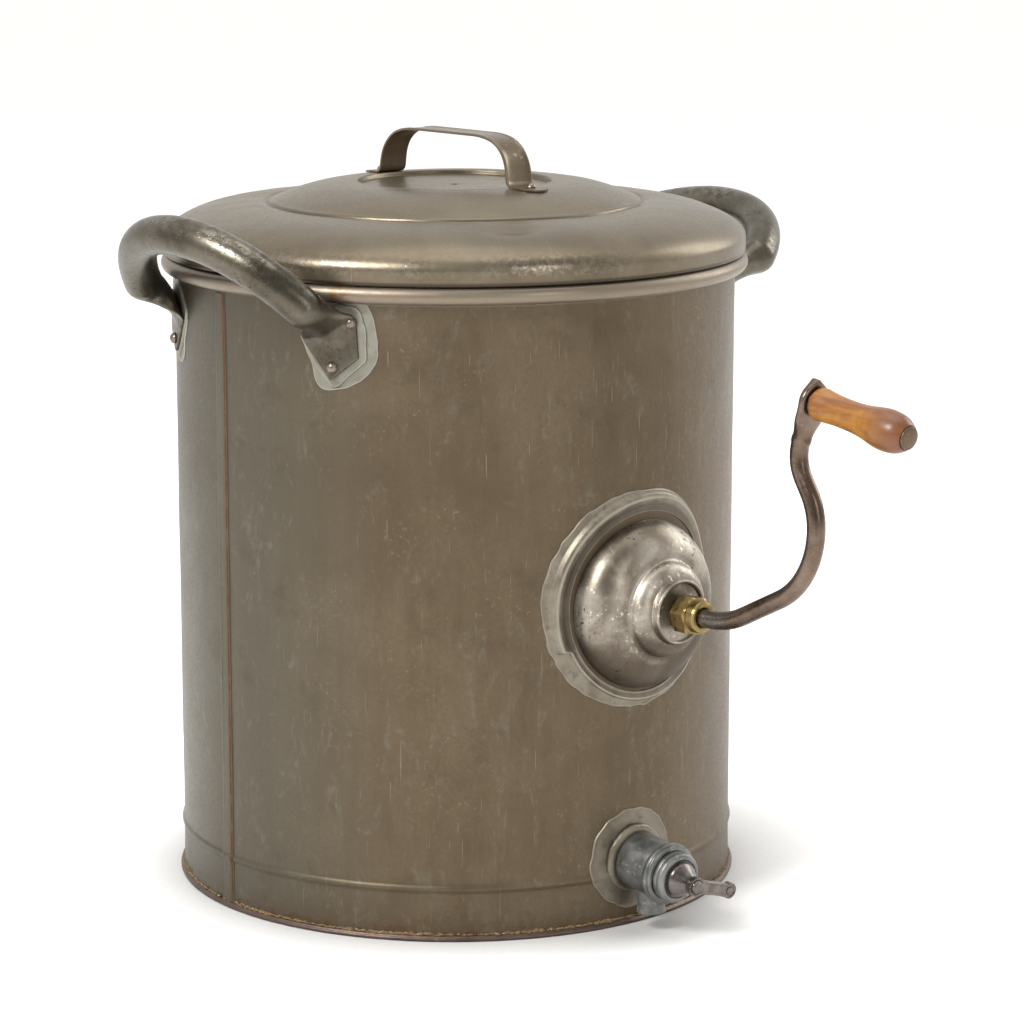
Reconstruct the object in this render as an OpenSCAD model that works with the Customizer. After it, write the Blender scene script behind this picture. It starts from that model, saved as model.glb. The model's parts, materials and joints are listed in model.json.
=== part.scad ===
// Hand-cranked tinplate honey extractor: a drum with a lift-off lid, a tap,
// and a crank that turns a caged pair of comb baskets through a crown wheel.
// Millimetres. +Z is up, the origin is on the drum's axis at floor level,
// the crank and the tap are on the +X side, the side handles at +Y and -Y.

/* [Drum] */
// Outside radius of the drum wall
drum_r = 210; // [209:0.5:211]
// Thickness of the tinned sheet
sheet = 0.8; // [0.6:0.1:0.9]
// Height of the centre of the rolled rim
rim_z = 467; // [466:0.5:468]
// Radius of the rolled rim's section
rim_bead_r = 6.5; // [6:0.1:6.6]
// Height of the swaged stiffening bead near the foot
swage_z = 38.5; // [37:0.5:40]
// Height of the floor where it meets the wall
floor_z = 20; // [17:1:21]
// Rise of the floor's cone at the centre, which drains honey to the wall
floor_rise = 8; // [4:1:12]
// Azimuth of the wall's lock seam
seam_az = -93.7; // [-94.5:0.1:-93]

/* [Lid] */
// Height of the lid's edge when it sits on the rim
lid_z = 479; // [479:0.5:482]
// Radius of the vent hole in the lid
vent_r = 2.5; // [1.5:0.5:4]
// Width of the lid's strap handle
strap_w = 25; // [20:1:30]
// How far the lid's skirt reaches below its edge, into the drum
skirt_depth = 19; // [15:1:20]

/* [Side handles] */
// Radius of the handle hoop's centreline
hoop_r = 104; // [102:1:106]
// Radius of the handle tube
hoop_tube_r = 14; // [13:0.5:14.5]
// Rise of the left (-Y) hoop above horizontal, in degrees
left_tilt = 49; // [44:1:50]
// Rise of the right (+Y) hoop above horizontal, in degrees
right_tilt = 28; // [26:1:32]

/* [Crank] */
// Height of the crank shaft
crank_z = 236.5; // [235:0.5:238]
// Radius of the crank's rod
rod_r = 6.5; // [6:0.5:6.5]
// Length of the wooden grip
grip_len = 82; // [76:1:90]
// Droop of the grip towards its outer end, in degrees
grip_droop = 9; // [4:1:12]

/* [Gear] */
// Teeth on the crown wheel
crown_teeth = 48; // [48]
// Teeth on the pinion
pinion_teeth = 16; // [16]
// Tooth module of both gears
gear_module = 3; // [3]

/* [Cage] */
// Length of a comb basket
basket_len = 224; // [200:2:226]
// Depth of a comb basket
basket_deep = 44; // [36:1:44]
// Distance from the spindle to a basket's inner face
basket_in = 95; // [94:1:96]
// Height of the baskets' underside
basket_z0 = 262; // [258:1:264]
// Height of the baskets' open top
basket_z1 = 437; // [434:1:438]
// Spacing of the screens' wires
mesh_pitch = 12; // [11:1:16]

/* [Tap] */
// Azimuth of the tap
tap_az = -2.7; // [-4:0.1:0]
// Height of the tap's axis at the wall
tap_z = 49; // [48:0.5:51]
// Slope of the tap towards its outer end, in degrees
tap_tilt = 5; // [0:1:6]
// Radius of the tap's plug
plug_r = 14.95; // [14.95]

/* [Hidden] */
$fn = 96;
// Facets of the wall's skins, which are fine because flat cuts cross them at a slant
drum_fn = 360;

// Clearances: between still parts, and in a running fit
gap = 0.1;
fit = 0.05;

// Drum
drum_in = drum_r - sheet;
foot_h = 4.5;
foot_out = drum_r + 3.2;
rim_r = drum_r + 3.1;
swage_half = 4;
swage_out = 1.5;
wall_z0 = foot_h + gap;
wall_z1 = rim_z - 5;
skin_z1 = rim_z - rim_bead_r - 0.3;
floor_flange = 12;
seam_span = 3;

// Lid profile, heights above lid_z
disc_h = 43.5;
ring_r = 73;
ring_h = 46.8;
groove_r = 141;
groove_h = 31.6;
crown_r = 136;
crown_drop = 13;
edge_h = 5;
edge_r = drum_r + 7.8;
dome_rise = 27.5;
hem_r = 2.2;
hem_centre_r = edge_r - hem_r;
hem_h = -3.3;
strap_t = 1.6;
strap_foot_x = 98;
strap_foot_drop = 1.65;
strap_foot_slope = 9;
strap_run = [[10.5, 4.5], [10.5, 4.5], [7.5, -84], [9, 8], [29, 62], [18, 14]];
lid_rivet_x = 86;
lid_rivet_r = 2;
lid_head_r = 3.8;
lid_head_drop = 0.2;
lid_tail_r = 3.6;
lid_tail_h = 1.2;
lid_tail_drop = 2.3;

// Crank housing
flange_z = crank_z + 2;
flange_r = 74.7;
collar_in = 68.5;
collar_h = 4.5;
dome_base_r = 62;
dome_hole_r = 50;
bulge_r = 30;
nose_x = 245.5;
nose_r = 23.6;
nut_x0 = 249.3;
nut_x1 = 263;
nut_x2 = 270;
nut_flats = 26;

// Side handles
hoop_y = [-190, 188];
hoop_z = [426, 438];
hoop_over = [9, 5];
tube_wall = 1.4;
plate_az = 62;
plate_z = 430;
rivet_spots = [[5.8, 17], [-8.5, -15]];
rivet_shank = 2.4;
rivet_head = 4.4;
rivet_room = 0.3;
plate_back = 2;
plate_face = 3.8;

// Crank: each piece of the rod is [length, turn in degrees], from the gland outwards
crank_x = 270;
shaft_x0 = -20;
rod_run = [[11, 0], [34, 27], [40, 0], [67, 63], [26, 32], [11, 0], [22, -44], [9, 0], [14, -14], [3, 0]];
rod_sides = 20;
eye = [373, 168.4];
eye_r = 13;
eye_t = 7;
spindle_r = 4;
grip_z0 = 5.5;

// Gears
pitch_x = gear_module * pinion_teeth / 2;
crown_pitch_r = gear_module * crown_teeth / 2;
tooth_face = 10;
crown_back_x = 35;
crown_tooth_w = 3.9;
pinion_tooth_w = 4.1;
pressure = 20;
wheel_pin_x = 45;
pinion_z0 = crank_z + crown_pitch_r - tooth_face / 2 - 2;
pinion_h = tooth_face + 4;
pinion_pin_z = pinion_z0 + pinion_h + 5.5;

// Cross bars
bar_top = 212;
bar_t = 6;
bar_w = 30;
bar_reach = 206;
lug_screw_y = 194;
bracket_screw_y = 24;
top_bar_z = 446;
top_bar_w = 28;

// Cage
cage_shaft_r = 7;
shaft_z0 = 261.1;
shaft_z1 = 458;
strip_w = 16;
strip_t = 1.5;
lower_arm_z = 330;
upper_arm_z = 430;
arm_t = 4;
lower_tab = 14;
upper_tab = 16;
tab_t = 3;
tab_bolt_r = 2;
tab_bolt_up = 5;
tab_bolt_z = [for (arm = [[lower_arm_z, lower_tab], [upper_arm_z, upper_tab]])
    arm[0] + arm_t - arm[1] + tab_bolt_up];
hoop_band = 12;
wire_r = 0.9;
screen_margin = 4;
screen_w = basket_len - 2 * screen_margin;
screen_z0 = basket_z0 + screen_margin;
screen_z1 = basket_z1 - screen_margin;
arm_gap_z = [320.5, 328];

// Tap, measured outwards from the wall along its axis
barrel_r = 20.5;
barrel_len = 42;
collar_r = 22.6;
bore_r = 15;
spigot_r = 16;
spout_out = 20;
spout_z = 13;
spout_r = 10;
spout_bore = 7.5;
lever_len = 40;
lever_half = 5;
lever_end_r = 6;
ring_nut_r = 18.5;
cone_h = 13; // where the plug's cone starts, beyond the barrel
lever_h = 22; // the lever's place beyond the barrel
spout_flare_r = 14;
lever_dir = 74;

tin = [0.42, 0.38, 0.32];
lid_tin = [0.50, 0.46, 0.40];
solder_grey = [0.62, 0.60, 0.54];
iron = [0.36, 0.32, 0.29];

// ---------- helpers ----------

module ring(r_out, r_in, z0, z1) {
    translate([0, 0, z0]) difference() {
        cylinder(r = r_out, h = z1 - z0);
        translate([0, 0, -1]) cylinder(r = r_in, h = z1 - z0 + 2);
    }
}

module torus(centre_r, r, z) {
    translate([0, 0, z]) rotate_extrude() translate([centre_r, 0]) circle(r = r, $fn = 32);
}

// Local x along the wall, local y up, local z outwards
module on_wall(az, z) {
    rotate([0, 0, az]) translate([drum_r, 0, z]) rotate([90, 0, 90]) children();
}

// Local z along the crank shaft, towards +X
module along_shaft(x = 0) {
    translate([x, 0, crank_z]) rotate([0, 90, 0]) children();
}

// Outside of the wall from the foot up to the top, moved out by d
function wall_path(d, top) = [
    [drum_r + d, wall_z0],
    [drum_r + d, swage_z - swage_half],
    [drum_r + d + 0.8 * swage_out, swage_z - swage_half / 2],
    [drum_r + d + swage_out, swage_z],
    [drum_r + d + 0.8 * swage_out, swage_z + swage_half / 2],
    [drum_r + d, swage_z + swage_half],
    [drum_r + d, top]
];

function backwards(list) = [for (i = [len(list) - 1:-1:0]) list[i]];

// A skin on the wall between two offsets, which stops below the rim unless top is given
module wall_skin(d0, d1, top = skin_z1) {
    rotate_extrude($fn = drum_fn) polygon(concat(wall_path(d1, top), backwards(wall_path(d0, top))));
}

// Everything inside the wall moved out by d
module wall_solid(d) {
    rotate_extrude($fn = drum_fn) polygon(concat([[0, wall_z0]], wall_path(d, wall_z1), [[0, wall_z1]]));
}

// The 2D children, wrapped on the wall between two offsets
module wall_patch(az, z, d0, d1) {
    intersection() {
        wall_skin(d0, d1);
        on_wall(az, z) translate([0, 0, -40]) linear_extrude(80) children();
    }
}

// Hexagon bolt standing on z = 0 with its shank downwards, and its nut under the grip
module bolt(r, grip, head = 4) {
    cylinder(r = 1.85 * r, h = head, $fn = 6);
    translate([0, 0, -grip - 5]) cylinder(r = r, h = grip + 5.5);
    translate([0, 0, -grip - 4.1]) difference() {
        cylinder(r = 1.85 * r, h = 4, $fn = 6);
        translate([0, 0, -1]) cylinder(r = r - 0.2, h = 6);
    }
}

// ---------- drum ----------

module drum_wall() color(tin) difference() {
    union() {
        wall_skin(-sheet, 0, wall_z1);
        difference() {
            torus(rim_r, rim_bead_r, rim_z);
            torus(rim_r, rim_bead_r - sheet, rim_z);
        }
    }
    along_shaft(150) cylinder(r = dome_hole_r, h = 100);
    at_tap() translate([0, 0, -30]) cylinder(r = spigot_r + 0.2, h = 60);
    handle_rivet_places() translate([0, 0, -20]) cylinder(r = rivet_shank + fit, h = 40);
}

module side_seam() color(tin) rotate([0, 0, seam_az - seam_span / 2])
    rotate_extrude(angle = seam_span)
        polygon(concat(wall_path(1.1, skin_z1), backwards(wall_path(gap, skin_z1))));

module drum_floor() color(tin) rotate_extrude() polygon([
    [0, floor_z + floor_rise], [drum_in - 5, floor_z], [drum_in - gap, floor_z],
    [drum_in - gap, floor_z - floor_flange], [drum_in - gap - sheet, floor_z - floor_flange],
    [drum_in - gap - sheet, floor_z - sheet], [drum_in - 5, floor_z - sheet],
    [0, floor_z + floor_rise - sheet]
]);

module foot_ring() color(iron) rotate_extrude() polygon([
    [drum_r - 1.1, 0], [foot_out - 1, 0], [foot_out, 1.2], [foot_out, 3.3],
    [foot_out - 0.8, foot_h], [drum_r - 1.1, foot_h]
]);

module rim_wire() color(iron) torus(rim_r, rim_bead_r - sheet - gap, rim_z);

// ---------- crank housing ----------

// Radius and place along the shaft of the dome's skin, moved in by t
function dome_curve(t) = concat(
    [[dome_base_r - t, 190]],
    [for (a = [0:12:72]) [bulge_r + (dome_base_r - bulge_r - t) * cos(a), 207 + (24 - t) * sin(a)]],
    [[36 - t, 230.2 - t]],
    [for (a = [0:16:80]) [22 + (12.5 - t) * cos(a), 232 + (10 - t) * sin(a)]],
    [[nose_r - t, 243 - t]]
);

module housing_dome() color([0.60, 0.57, 0.52]) difference() {
    along_shaft() rotate_extrude() polygon(concat(
        dome_curve(0),
        [[nose_r, nose_x + 1], [nose_r - 1, nose_x + 2.5], [nose_r - 3, nose_x + 2.5], [nose_r - 4, nose_x],
         [10 + gap, nose_x], [10 + gap, nose_x - 1.2], [nose_r - 2, nose_x - 1.2]],
        backwards(dome_curve(1))
    ));
    wall_solid(gap);
}

module housing_collar() color(tin) {
    wall_patch(0, flange_z, gap, 1) difference() {
        circle(r = flange_r);
        translate([0, crank_z - flange_z]) circle(r = dome_base_r + 0.3);
    }
    wall_patch(0, flange_z, gap, collar_h) difference() {
        circle(r = flange_r);
        circle(r = collar_in);
    }
}

module housing_solder() color(solder_grey) wall_patch(0, flange_z, fit, 0.6) difference() {
    union() {
        translate([-8, 0]) circle(r = 79);
        translate([-22, 22]) circle(r = 66);
        translate([-2, -8]) circle(r = 76);
    }
    circle(r = flange_r + 0.2);
}

module gland_body() color("darkkhaki") along_shaft() difference() {
    union() {
        translate([0, 0, nose_x - 3.5]) cylinder(r = 15, h = 2.2);
        translate([0, 0, nose_x - 3.5]) cylinder(r = 10, h = 13);
    }
    translate([0, 0, nose_x - 5]) cylinder(r = rod_r + fit, h = 20);
    translate([0, 0, nose_x + 2.5]) cylinder(r = 9, h = 12);
}

module gland_packing() color("tan") along_shaft() ring(8.95, rod_r + gap, nose_x + 2.6, nose_x + 6.6);

module gland_nut() color([0.60, 0.52, 0.22]) along_shaft() difference() {
    union() {
        translate([0, 0, nut_x0]) cylinder(r = nut_flats / sqrt(3), h = nut_x1 - nut_x0, $fn = 6);
        translate([0, 0, nut_x1 - 1]) cylinder(r = 11.5, h = nut_x2 - nut_x1 + 1);
    }
    translate([0, 0, nut_x0 - 1]) cylinder(r = 6.9, h = 30);
    translate([0, 0, nut_x0 - 1]) cylinder(r = 10 + gap, h = 4);
    ring(10 + gap, 8.8, nut_x0, nut_x0 + 7);
}

// ---------- side handles ----------

// The plate that a handle's end is hammered into, in wall coordinates
module plate_outline(grow = 0) {
    polygon([
        [-36 - grow, 8], [-13, 28 + grow], [9 + grow, 23 + grow],
        [11 + grow, -8 - grow], [-10, -25 - grow], [-24 - grow, -10 - grow]
    ]);
}

// side: 0 is the -Y handle, 1 is the +Y handle; end: 1 is towards +X, -1 towards -X
module at_handle_end(side, end) {
    mirror([0, side, 0]) mirror([end < 0 ? 1 : 0, 0, 0]) children();
}

module handle_rivet_places() {
    for (side = [0, 1], end = [-1, 1], spot = rivet_spots)
        at_handle_end(side, end) on_wall(-plate_az, plate_z)
            translate([spot[0], spot[1], 0]) children();
}

module handle(side, tilt) {
    color([0.45, 0.43, 0.38]) difference() {
        union() {
            difference() {
                hoop(side, tilt);
                translate([0, 0, 350]) cylinder(r = drum_r + 2.9, h = 250, $fn = drum_fn);
            }
            for (end = [-1, 1])
                at_handle_end(side, end) wall_patch(-plate_az, plate_z, plate_back, plate_face) plate_outline();
        }
        handle_rivet_places() {
            translate([0, 0, -5]) cylinder(r = rivet_shank + fit, h = 20);
            // room for the rivet's head where it stands close to the tube
            translate([0, 0, plate_face]) cylinder(r = rivet_head + rivet_room, h = 2.5 * rivet_head);
        }
    }
}

// A bent tube in a plane tilted up from the wall; its ends run on into the wall
module hoop(side, tilt) {
    translate([0, hoop_y[side], hoop_z[side]]) rotate([side == 0 ? -tilt : tilt, 0, 0])
        rotate([0, 0, (1 - side) * 180 - hoop_over[side]])
            rotate_extrude(angle = 180 + 2 * hoop_over[side]) translate([hoop_r, 0]) difference() {
                circle(r = hoop_tube_r, $fn = 64);
                circle(r = hoop_tube_r - tube_wall, $fn = 64);
            }
}

module handle_left() handle(0, left_tilt);

module handle_right() handle(1, right_tilt);

module handle_pads() color(solder_grey) difference() {
    for (side = [0, 1], end = [-1, 1])
        at_handle_end(side, end) wall_patch(-plate_az, plate_z, gap, 1.9) plate_outline(5);
    handle_rivet_places() translate([0, 0, -5]) cylinder(r = rivet_shank + fit, h = 20);
}

module handle_solder() color(solder_grey) for (side = [0, 1], end = [-1, 1])
    at_handle_end(side, end) wall_patch(-plate_az, plate_z, fit, 0.7) difference() {
        union() {
            translate([4, 14]) circle(r = 20);
            translate([6, -8]) circle(r = 19);
            translate([-6, -18]) circle(r = 16);
        }
        plate_outline(5.2);
    }

module handle_rivets() color(iron) handle_rivet_places() {
    translate([0, 0, -2.6]) cylinder(r = rivet_shank, h = 8);
    intersection() {
        translate([0, 0, 3]) sphere(r = rivet_head);
        translate([0, 0, 4]) cylinder(r = 6, h = 6);
    }
    translate([0, 0, -3.6]) cylinder(r = 4.2, h = 1.8);
}

// ---------- inner frame ----------

// A lug soldered inside the wall at +X, its shelf's top at z
module lug(z, w) {
    difference() {
        intersection() {
            cylinder(r = drum_in - gap, h = 500, $fn = drum_fn);
            union() {
                translate([182, -w / 2, z - 3]) cube([40, w, 3]);
                translate([bar_reach + 0.8, -w / 2, z - 30]) cube([20, w, 30]);
            }
        }
        translate([lug_screw_y, 0, z - 10]) cylinder(r = 3 + fit, h = 20);
    }
}

module cross_bar() color(iron) difference() {
    translate([-bar_w / 2, -bar_reach, bar_top - bar_t]) cube([bar_w, 2 * bar_reach, bar_t]);
    for (y = [-lug_screw_y, -bracket_screw_y, bracket_screw_y, lug_screw_y])
        translate([0, y, bar_top - 10]) cylinder(r = 3 + fit, h = 20);
}

module cross_bar_lugs() color(tin) for (az = [90, -90])
    rotate([0, 0, az]) lug(bar_top - bar_t - gap, bar_w - 2);

module cross_bar_screws() color("gray") for (y = [-lug_screw_y, lug_screw_y])
    translate([0, y, bar_top + gap]) bolt(3, bar_t + 3.3);

module gear_bracket() color(iron) difference() {
    union() {
        translate([-15, -34, bar_top + gap]) cube([30, 68, 7]);
        translate([-13, -14, bar_top + gap]) cube([26, 28, 50]);
        translate([0, 0, 255]) cylinder(r = 14, h = 27);
    }
    along_shaft(-20) cylinder(r = rod_r + fit, h = 40);
    translate([0, 0, 259]) cylinder(r = cage_shaft_r + fit, h = 30);
    for (y = [-bracket_screw_y, bracket_screw_y])
        translate([0, y, 205]) cylinder(r = 3 + fit, h = 20);
}

module bracket_screws() color("gray") for (y = [-bracket_screw_y, bracket_screw_y])
    translate([0, y, bar_top + 7 + 2 * gap]) bolt(3, bar_t + 7 + 3 * gap);

module thrust_button() color("silver") translate([0, 0, 259]) cylinder(r = cage_shaft_r - gap, h = 2);

module top_bar() color(iron) difference() {
    translate([-bar_reach, -top_bar_w / 2, top_bar_z]) cube([2 * bar_reach, top_bar_w, bar_t]);
    for (x = [-lug_screw_y, lug_screw_y])
        translate([x, 0, top_bar_z - 5]) cylinder(r = 3 + fit, h = 20);
    translate([0, 0, top_bar_z - 5]) cylinder(r = 10 + fit, h = 20);
}

module top_bar_lugs() color(tin) for (az = [0, 180])
    rotate([0, 0, az]) lug(top_bar_z - gap, top_bar_w - 2);

module top_bar_screws() color("gray") for (x = [-lug_screw_y, lug_screw_y])
    translate([x, 0, top_bar_z + bar_t + gap]) bolt(3, bar_t + 3.3);

module top_bush() color("darkkhaki") difference() {
    union() {
        translate([0, 0, top_bar_z - 6]) cylinder(r = 10, h = bar_t + 7);
        translate([0, 0, top_bar_z + bar_t + gap]) cylinder(r = 16, h = 3);
    }
    translate([0, 0, top_bar_z - 10]) cylinder(r = cage_shaft_r + fit, h = 30);
}

// ---------- crank ----------

// A round rod in the XZ plane along a walk of [length, turn] pieces from [x, z]
module bent_rod(pieces, start, r) {
    path = walk(pieces, start, 0);
    last = len(path) - 1;
    polyhedron(
        points = [for (p = path, a = [0:rod_sides - 1])
            let (c = r * cos(a * 360 / rod_sides))
            [p[0] - c * sin(p[2]), r * sin(a * 360 / rod_sides), p[1] + c * cos(p[2])]],
        faces = concat(
            [[for (a = [rod_sides - 1:-1:0]) a]],
            [for (i = [0:last - 1], a = [0:rod_sides - 1])
                let (b = (a + 1) % rod_sides, n = i * rod_sides)
                [n + a, n + b, n + rod_sides + b, n + rod_sides + a]],
            [[for (a = [0:rod_sides - 1]) last * rod_sides + a]]
        )
    );
}

// Local z along the grip from the middle of the crank's eye
module at_grip() {
    translate([eye[0], 0, crank_z + eye[1]]) rotate([0, 90 + grip_droop, 0]) children();
}

module crank_rod() color([0.45, 0.38, 0.33]) difference() {
    union() {
        along_shaft(shaft_x0) cylinder(r = rod_r, h = crank_x - shaft_x0);
        bent_rod(rod_run, [crank_x - 5, crank_z], rod_r - gap);
        at_grip() translate([0, 0, -eye_t / 2]) cylinder(r = eye_r, h = eye_t);
    }
    at_grip() translate([0, 0, -20]) cylinder(r = spindle_r + fit, h = 40);
    translate([wheel_pin_x, 0, crank_z - 20]) cylinder(r = 2 + fit, h = 40);
    translate([shaft_x0 + 4, 0, crank_z - 20]) cylinder(r = 1.5 + fit, h = 40);
}

// Outline of a crown tooth across its width: x along the pitch line, y along the shaft
module crown_tooth() {
    tip_x = pitch_x - gear_module;
    root_x = pitch_x + gear_module + 0.5;
    tip_w = crown_tooth_w - 2 * gear_module * tan(pressure);
    root_w = crown_tooth_w + 2 * (gear_module + 0.5) * tan(pressure);
    polygon([
        [-tip_w / 2, tip_x], [tip_w / 2, tip_x], [root_w / 2, root_x],
        [root_w / 2, root_x + 1], [-root_w / 2, root_x + 1], [-root_w / 2, root_x]
    ]);
}

module crown_wheel() color([0.30, 0.29, 0.28]) difference() {
    along_shaft() difference() {
        union() {
            rotate_extrude() polygon([
                [0, 30], [62, 30], [64, pitch_x + gear_module + 0.5],
                [crown_pitch_r + 7, pitch_x + gear_module + 0.5], [crown_pitch_r + 7, crown_back_x],
                [16, crown_back_x], [15, 52], [0, 52]
            ]);
            for (i = [0:crown_teeth - 1])
                rotate([0, 0, (i + 0.5) * 360 / crown_teeth])
                    translate([crown_pitch_r - tooth_face / 2, 0, 0])
                        rotate([90, 0, 90]) linear_extrude(tooth_face) crown_tooth();
        }
        translate([0, 0, 20]) cylinder(r = rod_r + fit, h = 40);
        for (a = [0:60:300]) rotate([0, 0, a]) translate([39, 0, 20]) cylinder(r = 11, h = 20);
    }
    translate([wheel_pin_x, 0, crank_z - 30]) cylinder(r = 2 + fit, h = 60);
}

module wheel_pin() color("silver") translate([wheel_pin_x, 0, crank_z - 17]) cylinder(r = 2, h = 34);

module shaft_collar() color(iron) {
    difference() {
        along_shaft(shaft_x0 + 0.5) ring(11, rod_r + fit, 0, 6.2);
        translate([shaft_x0 + 4, 0, crank_z - 20]) cylinder(r = 1.5 + fit, h = 40);
    }
    translate([shaft_x0 + 4, 0, crank_z - 12.5]) cylinder(r = 1.5, h = 25);
}

module grip_spindle() color("gray") at_grip() {
    translate([0, 0, -6]) cylinder(r = spindle_r, h = grip_z0 + grip_len + 8);
    translate([0, 0, -6.6]) cylinder(r1 = 5.5, r2 = 7, h = 3);
    translate([0, 0, grip_z0 + grip_len + 0.2]) cylinder(r = 8, h = 2);
    translate([0, 0, grip_z0 + grip_len + 2.2]) cylinder(r1 = 8, r2 = 6.2, h = 1.2);
}

module grip_washer() color("silver") at_grip() ring(9.8, spindle_r + fit, eye_t / 2 + gap, grip_z0 - gap);

// Radius of the grip at a fraction u of its length: a neck, then a bulb that rounds over
function grip_r(u) =
    (9.3 + 5 * exp(-pow((u - 0.8) / 0.21, 2)) + 1.6 * exp(-pow(u / 0.13, 2)))
    * sqrt(1 - 0.62 * pow(max(0, (u - 0.88) / 0.12), 2))
    * (1 - 0.06 * max(0, 1 - u / 0.03));

module wooden_grip() color([0.66, 0.40, 0.16]) at_grip() rotate_extrude() polygon(concat(
    [for (i = [0:28]) [grip_r(i / 28), grip_z0 + i / 28 * grip_len]],
    [[spindle_r + 0.08, grip_z0 + grip_len], [spindle_r + 0.08, grip_z0]]
));

// ---------- cage ----------

module cage_spindle() color("gray") difference() {
    translate([0, 0, shaft_z0]) cylinder(r = cage_shaft_r, h = shaft_z1 - shaft_z0);
    translate([0, 0, pinion_pin_z]) rotate([0, 90, 0])
        translate([0, 0, -30]) cylinder(r = 2 + fit, h = 60);
}

function involute(a) = tan(a) * 180 / PI - a;

// Points up one flank of a pinion tooth: side is -1 or 1, c the tooth's own angle
function flank(c, side) = [
    for (i = [0:5])
        let (
            base = pitch_x * cos(pressure),
            r = i == 0 ? pitch_x - gear_module * 1.25
                : base + (pitch_x + gear_module - base) * (i - 1) / 4,
            at = i == 0 ? 0 : acos(base / r),
            half = pinion_tooth_w / 2 / pitch_x * 180 / PI + involute(pressure) - involute(at),
            a = c + side * half
        ) [r * cos(a), r * sin(a)]
];

module pinion() color([0.30, 0.29, 0.28]) difference() {
    union() {
        translate([0, 0, pinion_z0]) linear_extrude(pinion_h) polygon([
            for (k = [0:pinion_teeth - 1])
                each concat(flank(k * 360 / pinion_teeth, -1), backwards(flank(k * 360 / pinion_teeth, 1)))
        ]);
        translate([0, 0, pinion_z0 + pinion_h - 1]) cylinder(r = 13, h = 11.5);
    }
    translate([0, 0, pinion_z0 - 1]) cylinder(r = cage_shaft_r + fit, h = 40);
    translate([0, 0, pinion_pin_z]) rotate([0, 90, 0])
        translate([0, 0, -30]) cylinder(r = 2 + fit, h = 60);
}

module pinion_pin() color("silver") translate([0, 0, pinion_pin_z]) rotate([0, 90, 0])
    translate([0, 0, -15]) cylinder(r = 2, h = 30);

// Two arms from a hub to the baskets, each ending in a tab against the basket
module spider(z, tab) color(iron) difference() {
    union() {
        translate([-10, -basket_in + 0.2, z]) cube([20, 2 * basket_in - 0.4, arm_t]);
        for (side = [0, 1]) mirror([0, side, 0])
            translate([-10, basket_in - tab_t - 0.2, z + arm_t - tab]) cube([20, tab_t, tab]);
        translate([0, 0, z - 2]) cylinder(r = 14, h = 10);
    }
    translate([0, 0, z - 5]) cylinder(r = cage_shaft_r + fit, h = 20);
    translate([0, 0, z + arm_t - tab + tab_bolt_up]) rotate([90, 0, 0])
        translate([0, 0, -120]) cylinder(r = tab_bolt_r + fit, h = 240);
}

module upper_spider() spider(upper_arm_z, upper_tab);

module lower_spider() spider(lower_arm_z, lower_tab);

// Each bolt's head is inside the tab, and its nut inside the basket
module spider_bolts() color("silver") for (side = [0, 1], z = tab_bolt_z) mirror([0, side, 0])
    translate([0, basket_in - tab_t - 0.3, z]) rotate([90, 0, 0]) {
        cylinder(r = 4, h = 3, $fn = 6);
        translate([0, 0, -7]) cylinder(r = tab_bolt_r, h = 8);
        translate([0, 0, -7.9]) cylinder(r = 3.6, h = 2.9, $fn = 6);
    }

// A basket of strips, open at the top; its windows carry the wire screens
module basket() difference() {
    half = basket_len / 2;
    height = basket_z1 - basket_z0;
    translate([-half, basket_in, basket_z0]) cube([basket_len, basket_deep, height]);
    translate([-half + strip_t, basket_in + strip_t, basket_z0 + strip_t])
        cube([basket_len - 2 * strip_t, basket_deep - 2 * strip_t, height]);
    // outer window, and the inner side's two windows above and below the lower arm
    translate([-half + strip_w, basket_in + basket_deep / 2, basket_z0 + strip_w])
        cube([basket_len - 2 * strip_w, basket_deep, height - 2 * strip_w]);
    for (z = [[basket_z0 + strip_w, 318], [336, basket_z1 - strip_w]])
        translate([-half + strip_w, basket_in - 5, z[0]])
            cube([basket_len - 2 * strip_w, 12, z[1] - z[0]]);
    // windows in both ends and in the bottom
    translate([-half - 5, basket_in + 10, basket_z0 + strip_w])
        cube([basket_len + 10, basket_deep - 20, height - 2 * strip_w]);
    for (x = [-half + strip_w, 6])
        translate([x, basket_in + 10, basket_z0 - 5])
            cube([half - strip_w - 6, basket_deep - 20, 20]);
    for (z = tab_bolt_z)
        translate([0, basket_in + 10, z]) rotate([90, 0, 0]) cylinder(r = tab_bolt_r + fit, h = 20);
}

// Crossed wires from z0 to z1 in the plane at y; the level wires lie outside the upright ones
module screen(y, z0, z1) {
    across = floor(screen_w / mesh_pitch);
    up = floor((z1 - z0) / mesh_pitch);
    for (i = [1:across])
        translate([(i / (across + 1) - 0.5) * screen_w, y, z0])
            cylinder(r = wire_r, h = z1 - z0, $fn = 16);
    for (k = [1:up])
        translate([-screen_w / 2, y + 2 * wire_r + 0.05, z0 + k * (z1 - z0) / (up + 1)])
            rotate([0, 90, 0]) cylinder(r = wire_r, h = screen_w, $fn = 16);
}

module outer_screen() color("silver")
    screen(basket_in + basket_deep - strip_t - 3.8, screen_z0, screen_z1);

// The inner screen leaves a band for the lower arm's bolts
module inner_screen() color("silver") {
    screen(basket_in + strip_t + 1, screen_z0, arm_gap_z[0]);
    screen(basket_in + strip_t + 1, arm_gap_z[1], screen_z1 - 16);
}

module basket_a() color([0.58, 0.56, 0.52]) basket();

module basket_b() color([0.58, 0.56, 0.52]) mirror([0, 1, 0]) basket();

module outer_screen_a() outer_screen();

module outer_screen_b() mirror([0, 1, 0]) outer_screen();

module inner_screen_a() inner_screen();

module inner_screen_b() mirror([0, 1, 0]) inner_screen();

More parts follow.
